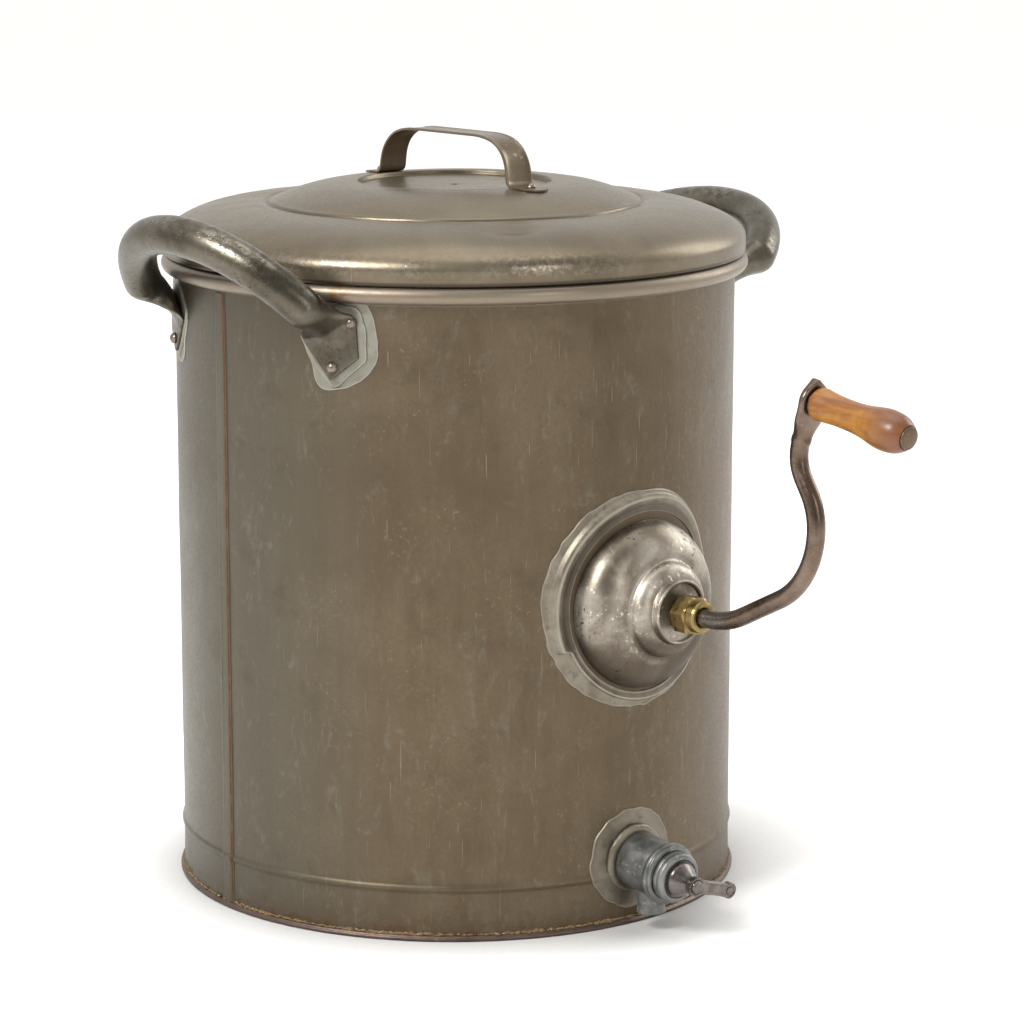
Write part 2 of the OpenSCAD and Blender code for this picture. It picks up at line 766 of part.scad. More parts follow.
module cage_hoops() color([0.58, 0.56, 0.52]) {
    corner = norm([basket_len / 2, basket_in + basket_deep]);
    for (z = [basket_z0 + 2, basket_z1 - 2 - hoop_band])
        ring(corner + 2.6, corner + gap, z, z + hoop_band);
}

// ---------- lid ----------

// Radius and height of the lid's skin from the vent to the edge, moved in by t
function lid_curve(t) = concat(
    [[vent_r, disc_h - t], [ring_r - 4, disc_h - t], [ring_r - 2.4, disc_h + 0.8 - t],
     [ring_r - 0.8, ring_h - 0.2 - t], [ring_r + 1, ring_h - t]],
    [for (i = [1:9])
        let (u = i / 9, r = ring_r + 1 + u * (crown_r - ring_r - 1))
        [r, ring_h - crown_drop * u * u - t]],
    [[groove_r - 1.5, groove_h + 0.4 - t], [groove_r, groove_h - t], [groove_r + 2, groove_h + 0.3 - t]],
    [for (a = [6:6:90])
        [groove_r + (edge_r - groove_r - t) * sin(a), edge_h + (dome_rise - t) * cos(a)]],
    [[edge_r - t, hem_h]]
);

module lid_shell() color(lid_tin) difference() {
    translate([0, 0, lid_z]) union() {
        rotate_extrude() polygon(concat(lid_curve(0), backwards(lid_curve(sheet))));
        difference() {
            torus(hem_centre_r, hem_r, hem_h);
            torus(hem_centre_r, hem_r - sheet, hem_h);
        }
    }
    lid_rivet_holes();
}

module lid_skirt() color(lid_tin) intersection() {
    ring(drum_in - 3.6, drum_in - 3.6 - sheet, lid_z - skirt_depth, lid_z + 40);
    translate([0, 0, lid_z]) rotate_extrude() polygon(concat(
        [[0, -30], [0, disc_h - sheet - fit]], lid_curve(sheet + fit), [[edge_r - 1, -30]]
    ));
}

module lid_edge_wire() color(iron) torus(hem_centre_r, hem_r - sheet - gap, lid_z + hem_h);

// Points of a run of [length, turn] pieces from p with a heading, as [x, y, heading]:
// a point for every 8 degrees of a bend
function walk(pieces, p, heading, i = 0) = i >= len(pieces) ? [[p[0], p[1], heading]] :
    let (
        steps = max(1, ceil(abs(pieces[i][1]) / 8)),
        part = [for (k = [0:steps - 1]) heading + pieces[i][1] * (k + 0.5) / steps],
        hop = pieces[i][0] / steps,
        xs = [for (k = [0:steps]) p[0] + hop * sum_cos(part, k)],
        ys = [for (k = [0:steps]) p[1] + hop * sum_sin(part, k)]
    )
    concat(
        [for (k = [0:steps - 1]) [xs[k], ys[k], heading + pieces[i][1] * k / steps]],
        walk(pieces, [xs[steps], ys[steps]], heading + pieces[i][1], i + 1)
    );

function sum_cos(list, n) = n == 0 ? 0 : cos(list[n - 1]) + sum_cos(list, n - 1);

function sum_sin(list, n) = n == 0 ? 0 : sin(list[n - 1]) + sum_sin(list, n - 1);

// The points moved sideways by d
function beside(pts, d) = [for (q = pts) [q[0] - d * sin(q[2]), q[1] + d * cos(q[2])]];

// Half of the strap is a walk from one foot up over the shoulder, then mirrored
module lid_handle() color(lid_tin) difference() {
    intersection() {
        translate([0, strap_w / 2, lid_z]) rotate([90, 0, 0]) linear_extrude(strap_w) {
            foot = [strap_foot_x, ring_h - strap_foot_drop + strap_t / 2 + gap];
            half = walk(strap_run, foot, 180 - strap_foot_slope);
            above = beside(half, -strap_t / 2);
            below = beside(half, strap_t / 2);
            polygon(concat(
                above, [for (p = backwards(above)) [-p[0], p[1]]],
                [for (p = below) [-p[0], p[1]]], backwards(below)
            ));
        }
        translate([0, 0, lid_z]) linear_extrude(200) {
            square([2 * (strap_foot_x - strap_w / 2), strap_w], center = true);
            for (x = [-1, 1]) translate([x * (strap_foot_x - strap_w / 2), 0]) circle(d = strap_w);
        }
    }
    lid_rivet_holes();
}

module lid_rivet_holes() {
    for (x = [-lid_rivet_x, lid_rivet_x])
        translate([x, 0, lid_z + 30]) cylinder(r = lid_rivet_r + fit, h = 40);
}

// Round heads on the strap, and flat ones under the shell, where the crown has begun to fall
module lid_rivets() color(iron) for (x = [-lid_rivet_x, lid_rivet_x])
    translate([x, 0, lid_z + ring_h - sheet - lid_tail_drop]) {
        seat = sheet + lid_tail_drop + strap_t - lid_head_drop + 2 * gap;
        cylinder(r = lid_tail_r, h = lid_tail_h);
        cylinder(r = lid_rivet_r, h = seat + 1);
        intersection() {
            translate([0, 0, seat - 1]) sphere(r = lid_head_r);
            translate([0, 0, seat]) cylinder(r = lid_head_r + 1, h = lid_head_r);
        }
    }

// ---------- tap ----------

// Local z outwards along the tap's axis from the wall, local x downwards
module at_tap() {
    rotate([0, 0, tap_az]) translate([drum_r, 0, tap_z])
        rotate([0, tap_tilt, 0]) rotate([0, 90, 0]) children();
}

module tap_flange() color([0.45, 0.46, 0.46]) difference() {
    at_tap() ring(25, spigot_r + gap, -6, 3.5);
    wall_solid(gap);
}

module tap_body() color([0.30, 0.33, 0.36]) difference() {
    union() {
        at_tap() {
            translate([0, 0, -16]) cylinder(r = spigot_r, h = 22);
            translate([0, 0, 3.6]) cylinder(r = barrel_r, h = barrel_len - 3.6);
            translate([0, 0, barrel_len - 7]) cylinder(r = collar_r, h = 7);
        }
        rotate([0, 0, tap_az]) translate([drum_r + spout_out, 0, spout_z])
            cylinder(r = spout_r, h = tap_z - spout_z - 8);
        rotate([0, 0, tap_az]) translate([drum_r + spout_out, 0, spout_z + 6])
            cylinder(r1 = spout_r, r2 = spout_flare_r, h = tap_z - spout_z - 16);
    }
    at_tap() {
        translate([0, 0, -17]) cylinder(r = 10, h = 30);
        translate([0, 0, 2]) cylinder(r = bore_r, h = 60);
    }
    rotate([0, 0, tap_az]) translate([drum_r + spout_out, 0, spout_z - 1])
        cylinder(r = spout_bore, h = tap_z - spout_z - 4);
}

module tap_ring_nut() color([0.50, 0.52, 0.54]) at_tap() difference() {
    union() {
        translate([0, 0, barrel_len + gap]) cylinder(r = ring_nut_r, h = 8);
        translate([0, 0, barrel_len + 8]) cylinder(r1 = ring_nut_r, r2 = ring_nut_r - 2, h = 1.5);
    }
    translate([0, 0, barrel_len - 1]) cylinder(r = 12 + fit, h = 20);
}

module tap_washer() color("saddlebrown") intersection() {
    at_tap() ring(24, spigot_r + gap, -6, 4);
    wall_solid(-sheet - gap);
}

module tap_back_nut() color([0.50, 0.52, 0.54]) at_tap() difference() {
    translate([0, 0, -12]) cylinder(r = 24, h = 5.9, $fn = 6);
    translate([0, 0, -20]) cylinder(r = spigot_r + gap, h = 30);
}

module tap_solder() color(solder_grey) wall_patch(tap_az, tap_z, fit, 0.6) difference() {
    union() {
        translate([0, 1]) circle(r = 36);
        translate([-3, -6]) circle(r = 32);
        translate([2, 8]) circle(r = 31);
    }
    circle(r = 25.6);
}

module tap_plug() color([0.55, 0.54, 0.55]) at_tap() difference() {
    union() {
        translate([0, 0, 2.3]) cylinder(r = plug_r, h = barrel_len - 2.5);
        translate([0, 0, 30]) cylinder(r = 12, h = barrel_len + cone_h - 30);
        translate([0, 0, barrel_len + cone_h]) cylinder(r1 = 12, r2 = 6, h = lever_h - cone_h);
        translate([0, 0, barrel_len + lever_h - 1]) cylinder(r = 4, h = 8.5);
    }
    translate([0, 0, 1]) cylinder(r = 10, h = 32);
    translate([0, 0, spout_out]) rotate([90, 0, 0]) cylinder(r = 7, h = 20);
    lever_pin_hole(fit);
}

// The pin that holds the lever on the plug's stub, grown by d
module lever_pin_hole(d) {
    rotate([0, 0, lever_dir]) translate([0, 6, barrel_len + lever_h + 4])
        rotate([90, 0, 0]) cylinder(r = 1.2 + d, h = 12);
}

module tap_lever() color([0.55, 0.50, 0.50]) at_tap() difference() {
    translate([0, 0, barrel_len + lever_h + gap]) rotate([0, 0, lever_dir]) {
        cylinder(r = 7, h = 7);
        translate([0, -lever_half, 1]) cube([lever_len - lever_end_r, 2 * lever_half, 5]);
        translate([lever_len - lever_end_r, 0, 1]) cylinder(r = lever_end_r, h = 5);
    }
    translate([0, 0, barrel_len + lever_h - 5]) cylinder(r = 4 + fit, h = 20);
    lever_pin_hole(fit);
}

module tap_lever_pin() color("gray") at_tap() lever_pin_hole(0);

drum_wall();
side_seam();
drum_floor();
foot_ring();
rim_wire();
housing_dome();
housing_collar();
housing_solder();
gland_body();
gland_packing();
gland_nut();
handle_left();
handle_right();
handle_pads();
handle_rivets();
handle_solder();
cross_bar();
cross_bar_lugs();
cross_bar_screws();
gear_bracket();
bracket_screws();
thrust_button();
top_bar();
top_bar_lugs();
top_bar_screws();
top_bush();
tap_flange();
tap_body();
tap_ring_nut();
tap_washer();
tap_back_nut();
tap_solder();
crank_rod();
crown_wheel();
wheel_pin();
shaft_collar();
grip_spindle();
grip_washer();
wooden_grip();
cage_spindle();
pinion();
pinion_pin();
upper_spider();
lower_spider();
spider_bolts();
basket_a();
basket_b();
cage_hoops();
outer_screen_a();
inner_screen_a();
outer_screen_b();
inner_screen_b();
lid_shell();
lid_skirt();
lid_edge_wire();
lid_handle();
lid_rivets();
tap_plug();
tap_lever();
tap_lever_pin();
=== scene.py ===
"""Looks of the hand-cranked honey extractor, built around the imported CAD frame.

Shapes are worked out in millimetres and turned into metres when a mesh is made.
+Z is up, the crank and the tap are on the +X side, the carrying handles at -Y and +Y.
"""
import json
import math

import bmesh
import bpy
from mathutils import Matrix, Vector, noise

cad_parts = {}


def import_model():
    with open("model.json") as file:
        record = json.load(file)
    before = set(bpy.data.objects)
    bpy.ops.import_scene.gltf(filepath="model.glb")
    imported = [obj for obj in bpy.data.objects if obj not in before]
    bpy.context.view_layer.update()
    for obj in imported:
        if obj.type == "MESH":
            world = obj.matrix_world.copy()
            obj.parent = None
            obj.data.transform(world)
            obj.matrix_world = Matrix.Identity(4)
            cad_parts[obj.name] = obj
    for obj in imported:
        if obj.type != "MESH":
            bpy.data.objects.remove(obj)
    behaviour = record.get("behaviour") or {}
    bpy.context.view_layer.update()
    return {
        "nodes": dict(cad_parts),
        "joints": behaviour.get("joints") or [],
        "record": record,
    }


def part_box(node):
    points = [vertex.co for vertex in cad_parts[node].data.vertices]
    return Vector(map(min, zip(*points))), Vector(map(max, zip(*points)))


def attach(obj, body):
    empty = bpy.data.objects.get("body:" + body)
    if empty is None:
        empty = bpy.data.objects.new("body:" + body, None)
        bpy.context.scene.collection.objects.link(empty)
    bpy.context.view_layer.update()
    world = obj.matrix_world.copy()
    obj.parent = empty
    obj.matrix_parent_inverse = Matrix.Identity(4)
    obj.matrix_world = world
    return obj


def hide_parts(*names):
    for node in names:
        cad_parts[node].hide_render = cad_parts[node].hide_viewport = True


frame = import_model()
MM = 0.001
# The sheet's thickness, and the room that the CAD leaves between two pieces
SHEET, GAP = 0.8, 0.1


# ---------- places, read from the frame ----------

def box_mm(node):
    low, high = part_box(node)
    return low / MM, high / MM


def joint(name):
    found = next(j for j in frame["joints"] if j["name"] == name)
    return Vector(found["pos_m"]) / MM, Vector(found["axis"]).normalized()


def rolled_edge(node):
    """A wire's height in the frame, and the sheet's radius round it and from the axis."""
    low, high = box_mm(node)
    roll = (high.z - low.z) / 2 + GAP + SHEET
    return (low.z + high.z) / 2, roll, high.x - roll + GAP + SHEET


WALL_R = box_mm("drum_floor")[1].x + GAP + SHEET
FOOT_R, _, FOOT_TOP = box_mm("foot_ring")[1]
RIM_Z, BEAD_R, RIM_R = rolled_edge("rim_wire")
hem_z, HEM_R, HEM_AT = rolled_edge("lid_edge_wire")
LID_EDGE_R = HEM_AT + HEM_R
HEM_DROP = 3.3
LID_Z = hem_z + HEM_DROP
CRANK_Z = joint("crank_spin")[0].z
seam_low, seam_high = box_mm("side_seam")
SEAM_AZ = math.atan2(seam_low.y + seam_high.y, seam_low.x + seam_high.x)
TAP_AT, TAP_AXIS = joint("tap_turn")
GRIP_AT, GRIP_AXIS = joint("grip_spin")
HOOP_R, TUBE_R, PLATE_AZ, PLATE_Z = 104.0, 14.0, 62.0, 430.0


# ---------- mesh making ----------

def solid_mesh(name, verts, faces):
    """A mesh from points in millimetres, its faces turned outwards."""
    mesh = bpy.data.meshes.new(name)
    mesh.from_pydata([Vector(v) * MM for v in verts], [], faces)
    work = bmesh.new()
    work.from_mesh(mesh)
    bmesh.ops.recalc_face_normals(work, faces=work.faces)
    work.to_mesh(mesh)
    work.free()
    return mesh


def linked(name, data):
    obj = bpy.data.objects.new(name, data)
    bpy.context.scene.collection.objects.link(obj)
    return obj


def crisp(obj, degrees):
    """Creases stay crisp where faces meet at more than this angle."""
    obj.data.set_sharp_from_angle(angle=math.radians(degrees))


def dressed(obj, body, slot, replaces=(), look=None, crease=None):
    """Gives an object its body, its material and its creases, and hides the CAD nodes it stands for. The slot
    picks the material when no look is given.
    """
    obj.data.shade_smooth()
    obj.data.materials.append(MATERIALS[look or slot])
    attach(obj, body)
    if replaces:
        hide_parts(*replaces)
    if crease:
        crisp(obj, crease)
    return obj


def piece(name, shape, body, slot, replaces=(), look=None, crease=None, edge=None):
    """An object from a shape's points and faces. edge holds a value per point for the solder's outline, and
    on the housing ring for a painted highlight and painted shade.
    """
    obj = linked(name, solid_mesh(name, *shape))
    if edge:
        obj.data.attributes.new("edge", "FLOAT", "POINT").data.foreach_set("value", edge)
    return dressed(obj, body, slot, replaces, look, crease)


def combine(obj, operation, *others):
    """Applies an exact boolean with each of the others, which are then removed."""
    for other in others:
        mod = obj.modifiers.new(operation, "BOOLEAN")
        mod.operation, mod.solver, mod.object = operation, "EXACT", other
    bpy.context.view_layer.update()
    mesh = bpy.data.meshes.new_from_object(obj.evaluated_get(bpy.context.evaluated_depsgraph_get()))
    obj.modifiers.clear()
    obj.data = mesh
    for other in others:
        bpy.data.objects.remove(other)


def cutter(place, r, low, high):
    """A cylinder to cut with."""
    profile = [(0, low), (r, low), (r, high), (0, high)]
    return linked("cutter", solid_mesh("cutter", *turned(profile, 96, place)))


def grid_faces(rows, cols, closed_rows=False):
    """Quads of a tube whose points run round it, row by row."""
    faces = []
    for i in range(rows if closed_rows else rows - 1):
        here, up = i * cols, (i + 1) % rows * cols
        for j in range(cols):
            k = (j + 1) % cols
            faces.append((here + j, here + k, up + k, up + j))
    return faces


def swept(rows):
    """A shape through equal rows of points, closed by a face at each end."""
    n, cols = len(rows), len(rows[0])
    ends = [tuple(range(cols)), tuple(range((n - 1) * cols, n * cols))]
    return [p for row in rows for p in row], grid_faces(n, cols) + ends


def fine(points, step):
    """A polyline with points added so that no piece is longer than step."""
    out = []
    for a, b in zip(points, points[1:]):
        n = max(1, math.ceil(math.dist(a, b) / step))
        out += [tuple(p + (q - p) * k / n for p, q in zip(a, b)) for k in range(n)]
    return out + [tuple(points[-1])]


def curve(points, per):
    """A Catmull-Rom curve through the points, with the ends kept and per steps between two of them."""
    pts = [points[0], *points, points[-1]]
    out = []
    for i in range(1, len(pts) - 2):
        p0, p1, p2, p3 = pts[i - 1:i + 3]
        for k in range(per):
            t = k / per
            out.append(tuple(
                0.5 * (2 * b + (c - a) * t + (2 * a - 5 * b + 4 * c - d) * t ** 2
                       + (3 * b - a - 3 * c + d) * t ** 3)
                for a, b, c, d in zip(p0, p1, p2, p3)))
    return out + [tuple(points[-1])]


def polar(degrees, r=1.0):
    a = math.radians(degrees)
    return r * math.cos(a), r * math.sin(a)


def arc(cx, cy, r, start, end, n):
    """Points of an arc in degrees, both ends included."""
    turns = [polar(start + (end - start) * k / n, r) for k in range(n + 1)]
    return [(cx + x, cy + y) for x, y in turns]


def ellipse(cx, cy, rx, ry, degrees):
    """Points of an ellipse's arc at the given angles."""
    return [(cx + rx * polar(a)[0], cy + ry * polar(a)[1]) for a in degrees]


def bent_line(at, heading, run, step, least):
    """Points and headings along stretches of (length, turn in degrees), each of them bent evenly."""
    line = []
    for length, turn in run:
        n = max(least, math.ceil(length / step))
        for _ in range(n):
            line.append((at.copy(), heading))
            at += Vector(polar(heading + turn * 0.5 / n)) * length / n
            heading += turn / n
    return line + [(at, heading)]


def smoothstep(x, low, high):
    t = min(1.0, max(0.0, (x - low) / (high - low)))
    return t * t * (3 - 2 * t)


def wobble(p, size, seed=0.0):
    """Smooth noise from -1 to 1 with features of about size millimetres."""
    return noise.noise(Vector(p) / size + Vector((seed, seed * 1.7, seed * 0.3)))


def turned(profile, segments, place, closed=False, bend=None):
    """A lathe: (radius, height) rows turned round; place maps (x, y, height) to the frame.
    A first or last radius of 0 closes to a point. bend(x, y, h) moves a point."""
    verts, faces, rows = [], [], []
    for r, h in profile:
        if r < 1e-6 and not closed:
            rows.append([len(verts)])
            verts.append(Vector(place(0.0, 0.0, h)))
            continue
        rows.append(list(range(len(verts), len(verts) + segments)))
        for j in range(segments):
            a = 2 * math.pi * j / segments
            verts.append(Vector(place(r * math.cos(a), r * math.sin(a), h)))
    pairs = list(zip(rows, rows[1:])) + ([(rows[-1], rows[0])] if closed else [])
    for low, high in pairs:
        for j in range(segments):
            k = (j + 1) % segments
            quad = [low[j % len(low)], low[k % len(low)], high[k % len(high)], high[j % len(high)]]
            unique = list(dict.fromkeys(quad))
            if len(unique) > 2:
                faces.append(tuple(unique))
    if bend:
        verts = [bend(v) for v in verts]
    return verts, faces


def upright(x, y, h):
    return x, y, h


def on_shaft(x, y, h):
    """Height runs outwards along the crank shaft."""
    return h, x, CRANK_Z + y


def along(origin, axis):
    """Height runs along any axis from an origin."""
    turn = axis.to_track_quat("Z", "X").to_matrix()

    def place(x, y, h):
        return origin + turn @ Vector((x, y, h))
    return place


def on_wall(az, z, u, v, d):
    """A point on the wall u round from azimuth az, v up from z and d off the surface."""
    a = math.radians(az) + u / WALL_R
    return Vector(((WALL_R + d) * math.cos(a), (WALL_R + d) * math.sin(a), z + v))


# ---------- shader making ----------

class Graph:
    """Short calls for shader nodes. They return output sockets, and finished returns the material."""

    def __init__(self, name):
        self.material = bpy.data.materials.new(name)
        self.material.use_nodes = True
        self.tree = self.material.node_tree
        self.tree.nodes.clear()
        self.shader = self.tree.nodes.new("ShaderNodeBsdfPrincipled")
        out = self.tree.nodes.new("ShaderNodeOutputMaterial")
        self.tree.links.new(self.shader.outputs[0], out.inputs[0])
        self.at = self.tree.nodes.new("ShaderNodeTexCoord").outputs["Object"]
        self.x, self.y, self.z = self.split(self.at)

    def put(self, socket, value):
        if isinstance(value, bpy.types.NodeSocket):
            self.tree.links.new(value, socket)
        elif socket.type == "RGBA":
            socket.default_value = (*value, 1.0)
        else:
            socket.default_value = value

    def add(self, kind, inputs, output=0, **settings):
        """A node with values or links on the inputs that are named or numbered."""
        node = self.tree.nodes.new(kind)
        for key, value in settings.items():
            setattr(node, key, value)
        for key, value in inputs.items():
            self.put(node.inputs[key], value)
        return node.outputs[output]

    def split(self, vector):
        return self.add("ShaderNodeSeparateXYZ", {0: vector}).node.outputs

    def math(self, operation, *values):
        return self.add("ShaderNodeMath", dict(enumerate(values)), operation=operation)

    def times(self, a, b):
        return self.math("MULTIPLY", a, b)

    def plus(self, a, b):
        return self.math("ADD", a, b)

    def minus(self, a, b):
        return self.math("SUBTRACT", a, b)

    def larger(self, a, b):
        return self.math("MAXIMUM", a, b)

    def times_plus(self, a, b, c):
        return self.math("MULTIPLY_ADD", a, b, c)

    def azimuth(self):
        return self.math("ARCTAN2", self.y, self.x)

    def stretched(self, scale, turn=(0, 0, 0), at=None):
        turn = [math.radians(t) for t in turn]
        return self.add("ShaderNodeMapping", {"Vector": at or self.at, "Rotation": turn, "Scale": scale})

    def noise(self, scale, detail=3.0, rough=0.55, distort=0.0, at=None):
        inputs = {"Vector": at or self.at, "Scale": scale, "Detail": detail, "Roughness": rough,
                  "Distortion": distort}
        return self.add("ShaderNodeTexNoise", inputs, "Fac")

    def ramp(self, value, low, high, out_low=0.0, out_high=1.0):
        inputs = dict(enumerate((value, low, high, out_low, out_high)))
        return self.add("ShaderNodeMapRange", inputs, interpolation_type="SMOOTHSTEP")

    def patchy(self, scale, detail, rough, low, high):
        """Spots and patches: noise, kept above a level."""
        return self.ramp(self.noise(scale, detail, rough), low, high)

    def mix(self, fac, a, b):
        return self.add("ShaderNodeMix", {"Factor": fac, 6: a, 7: b}, 2, data_type="RGBA")

    def tint(self, colour, other, amount, share=None):
        """The colour, turned towards another one by an amount times a share."""
        return self.mix(amount if share is None else self.times(amount, share), colour, other)

    def near(self, point_mm, full, none):
        """1 within the first distance of a point, fading to 0 at the second, in millimetres."""
        point = [c * MM for c in point_mm]
        distance = self.add("ShaderNodeVectorMath", {0: self.at, 1: point}, "Value", operation="DISTANCE")
        return self.ramp(distance, full * MM, none * MM, 1.0, 0.0)

    def edge(self):
        return self.add("ShaderNodeAttribute", {}, "Fac", attribute_name="edge")

    def facing(self):
        """The surface's direction: x, y and z."""
        return self.split(self.add("ShaderNodeNewGeometry", {}, "Normal"))

    def cylinder(self):
        """Coordinates along the wall: metres round, metres up."""
        return self.add("ShaderNodeCombineXYZ", {0: self.times(self.azimuth(), WALL_R * MM), 1: self.z})

    def bump(self, height, mm):
        return self.add("ShaderNodeBump", {"Strength": 1.0, "Distance": mm * MM, "Height": height})

    def finished(self, colour, roughness, metal=0.0, height=None, mm=0.0, more=()):
        """The material, with a bump of some millimetres and more inputs by their names."""
        values = {"Base Color": colour, "Roughness": roughness, "Metallic": metal, **dict(more)}
        if height:
            values["Normal"] = self.bump(height, mm)
        for key, value in values.items():
            self.put(self.shader.inputs[key], value)
        return self.material


def scratches(g, at, turn, length, width, share):
    """Thin streaks: noise stretched along one direction, kept where it is highest."""
    streaks = g.noise(1.0, 2.0, 0.4, at=g.stretched((1 / width, 1 / length, 1.0), (0, 0, turn), at))
    return g.ramp(streaks, share, share + 0.03)


def aged_tin(name, dark, light, rust=0.0, specks=0.3, rough=(0.34, 0.52), metal=0.8, patches=11.0,
             upright_streaks=0.45, scratch=0.35, pits=0.0, dirt_and_painted_light=None, bump=0.02):
    """Old tinned sheet: cloudy mottling, upright streaks, specks, fine scratches and rust spots."""
    g = Graph(name)
    clouds = g.noise(patches, 4.0, 0.6, 0.6)
    streaks = g.noise(1.0, 4.0, 0.6, at=g.stretched((70.0, 70.0, 9.0)))
    grain = g.noise(420.0, 3.0, 0.6)
    tone = g.times_plus(streaks, upright_streaks, g.times(clouds, 1 - upright_streaks))
    colour = g.mix(g.ramp(tone, 0.3, 0.7), dark, light)
    colour = g.tint(colour, [c * 0.72 for c in dark], g.ramp(grain, 0.35, 0.75, 0.0, 0.15))
    shine = g.times_plus(clouds, 0.5, g.times(grain, 0.5))
    roughness = g.ramp(shine, 0.3, 0.72, rough[0], rough[1])
    height = g.times(grain, 0.5)
    if specks:
        worn = g.times(g.patchy(260.0, 2.0, 0.75, 0.60, 0.68), g.patchy(23.0, 3.0, 0.6, 0.45, 0.7))
        colour = g.tint(colour, [min(1, c * 2.0 + 0.05) for c in light], worn, specks)
    if scratch:
        wall = g.cylinder()
        lines = g.larger(scratches(g, wall, 24, 0.05, 0.0012, 0.735),
                         scratches(g, wall, -63, 0.035, 0.0011, 0.74))
        lines = g.larger(lines, scratches(g, wall, 4, 0.07, 0.0012, 0.74))
        colour = g.tint(colour, [min(1, c * 1.7 + 0.04) for c in light], lines, scratch)
        height = g.minus(height, g.times(lines, 0.5))
    if pits:
        holes = g.times(g.patchy(330.0, 3.0, 0.7, 0.57, 0.66), g.patchy(27.0, 3.0, 0.6, 0.4, 0.62))
        colour = g.tint(colour, [c * 0.32 for c in dark], holes, pits)
        roughness = g.larger(roughness, g.times(holes, 0.7))
        height = g.minus(height, holes)
    if rust:
        spots = g.times(g.patchy(150.0, 3.0, 0.7, 0.66, 0.72), g.patchy(14.0, 2.0, 0.55, 0.52, 0.62))
        amount = g.times(spots, rust)
        colour = g.tint(colour, (0.22, 0.075, 0.02), amount)
        roughness = g.larger(roughness, g.times(amount, 0.8))
    # Each sheet's own dirt, rust and wear, and on some sheets painted shade and painted highlights.
    if dirt_and_painted_light:
        colour, roughness = dirt_and_painted_light(g, colour, roughness)
    return g.finished(colour, roughness, metal, height, bump)


# ---------- materials ----------

def wall_dirt_and_shade(g, colour, roughness):
    """Greyer round the left side, rubbed and stained in patches, bronze on the rim, painted shade in the
    recess beside the housing, rusty where a handle's solder leaks, and grimy above the foot."""
    left = g.times(g.ramp(g.azimuth(), -1.5, -0.8, 1.0, 0.0), g.ramp(g.azimuth(), -3.0, -2.2))
    colour = g.tint(colour, (0.082, 0.079, 0.062), left, 0.6)
    patches = g.noise(1.0, 5.0, 0.74, 1.2, at=g.stretched((66.0, 66.0, 27.0)))
    rubbed = g.times(g.ramp(patches, 0.53, 0.66), g.patchy(210.0, 3.0, 0.7, 0.35, 0.65))
    colour = g.tint(colour, (0.150, 0.142, 0.114), rubbed, 0.5)
    colour = g.tint(colour, (0.066, 0.050, 0.032), g.patchy(19.0, 5.0, 0.7, 0.54, 0.7), 0.45)
    edge = g.ramp(g.z, (RIM_Z - 8.5) * MM, (RIM_Z - 6) * MM)
    colour = g.tint(colour, (0.23, 0.19, 0.145), edge, 0.8)
    # Painted shade: the wall darkens in the recess round the dome, inside the raised ring.
    corner = g.near((WALL_R, 0, CRANK_Z), 62, 70)
    colour = g.tint(colour, (0.045, 0.030, 0.018), corner, 0.55)
    leak = g.near(on_wall(-PLATE_AZ, PLATE_Z, -2, 36, 0), 4, 17)
    leak = g.times(leak, g.patchy(160.0, 4.0, 0.7, 0.42, 0.58))
    colour = g.tint(colour, (0.20, 0.075, 0.022), leak, 0.9)
    darkening = g.times(g.ramp(g.z, 0.005, 0.022, 1.0, 0.0), g.patchy(90.0, 4.0, 0.65, 0.4, 0.65))
    colour = g.tint(colour, (0.10, 0.055, 0.025), darkening, 0.7)
    return colour, g.larger(roughness, g.times(darkening, 0.7))


def seam_dirt(g, colour, roughness):
    """Rust runs down the groove beside the fold."""
    across = g.times(g.minus(g.azimuth(), SEAM_AZ), WALL_R)
    groove = g.times(g.ramp(across, 3.3, 4.1), g.ramp(across, 5.0, 6.2, 1.0, 0.0))
    broken = g.ramp(g.noise(1.0, 3.0, 0.6, at=g.stretched((400.0, 400.0, 70.0))), 0.36, 0.52)
    amount = g.times(groove, broken)
    colour = g.tint(colour, (0.10, 0.075, 0.045), g.ramp(across, -3.5, 3.0, 0.0, 0.55))
    colour = g.tint(colour, (0.12, 0.045, 0.02), amount, 0.8)
    return colour, g.larger(roughness, g.times(amount, 0.8))


def lid_wear_and_shade(g, colour, roughness):
    """A speckled worn band round the shoulder, a painted shadow on the hem, and painted shade along the
    creases of the two raised rings.
    """
    low = g.ramp(g.z, (LID_Z - 2) * MM, (LID_Z + 6) * MM)
    high = g.ramp(g.z, (LID_Z + 9) * MM, (LID_Z + 19) * MM, 1.0, 0.0)
    broken = g.patchy(240.0, 3.0, 0.7, 0.44, 0.6)
    where = g.patchy(9.0, 3.0, 0.6, 0.4, 0.6)
    worn = g.times(g.times(low, high), g.times(broken, where))
    colour = g.tint(colour, (0.42, 0.385, 0.335), worn, 0.3)
    # Painted shadow: the hem darkens almost to black, as the gap between lid and rim.
    hem = g.ramp(g.z, (LID_Z - 3.6) * MM, (LID_Z - 1.4) * MM, 0.85, 0.0)
    colour = g.tint(colour, (0.035, 0.026, 0.018), hem)
    radius = g.math("SQRT", g.times_plus(g.x, g.x, g.times(g.y, g.y)))
    # Painted shade: a dark line along the crease at each raised ring.
    for at, reach in ((70.6, 1.6), (140.4, 2.0)):
        corner = g.times(g.ramp(radius, (at - reach) * MM, at * MM),
                         g.ramp(radius, at * MM, (at + reach) * MM, 1.0, 0.0))
        colour = g.tint(colour, (0.055, 0.042, 0.030), corner, 0.7)
    return colour, g.minus(roughness, g.times(worn, 0.1))


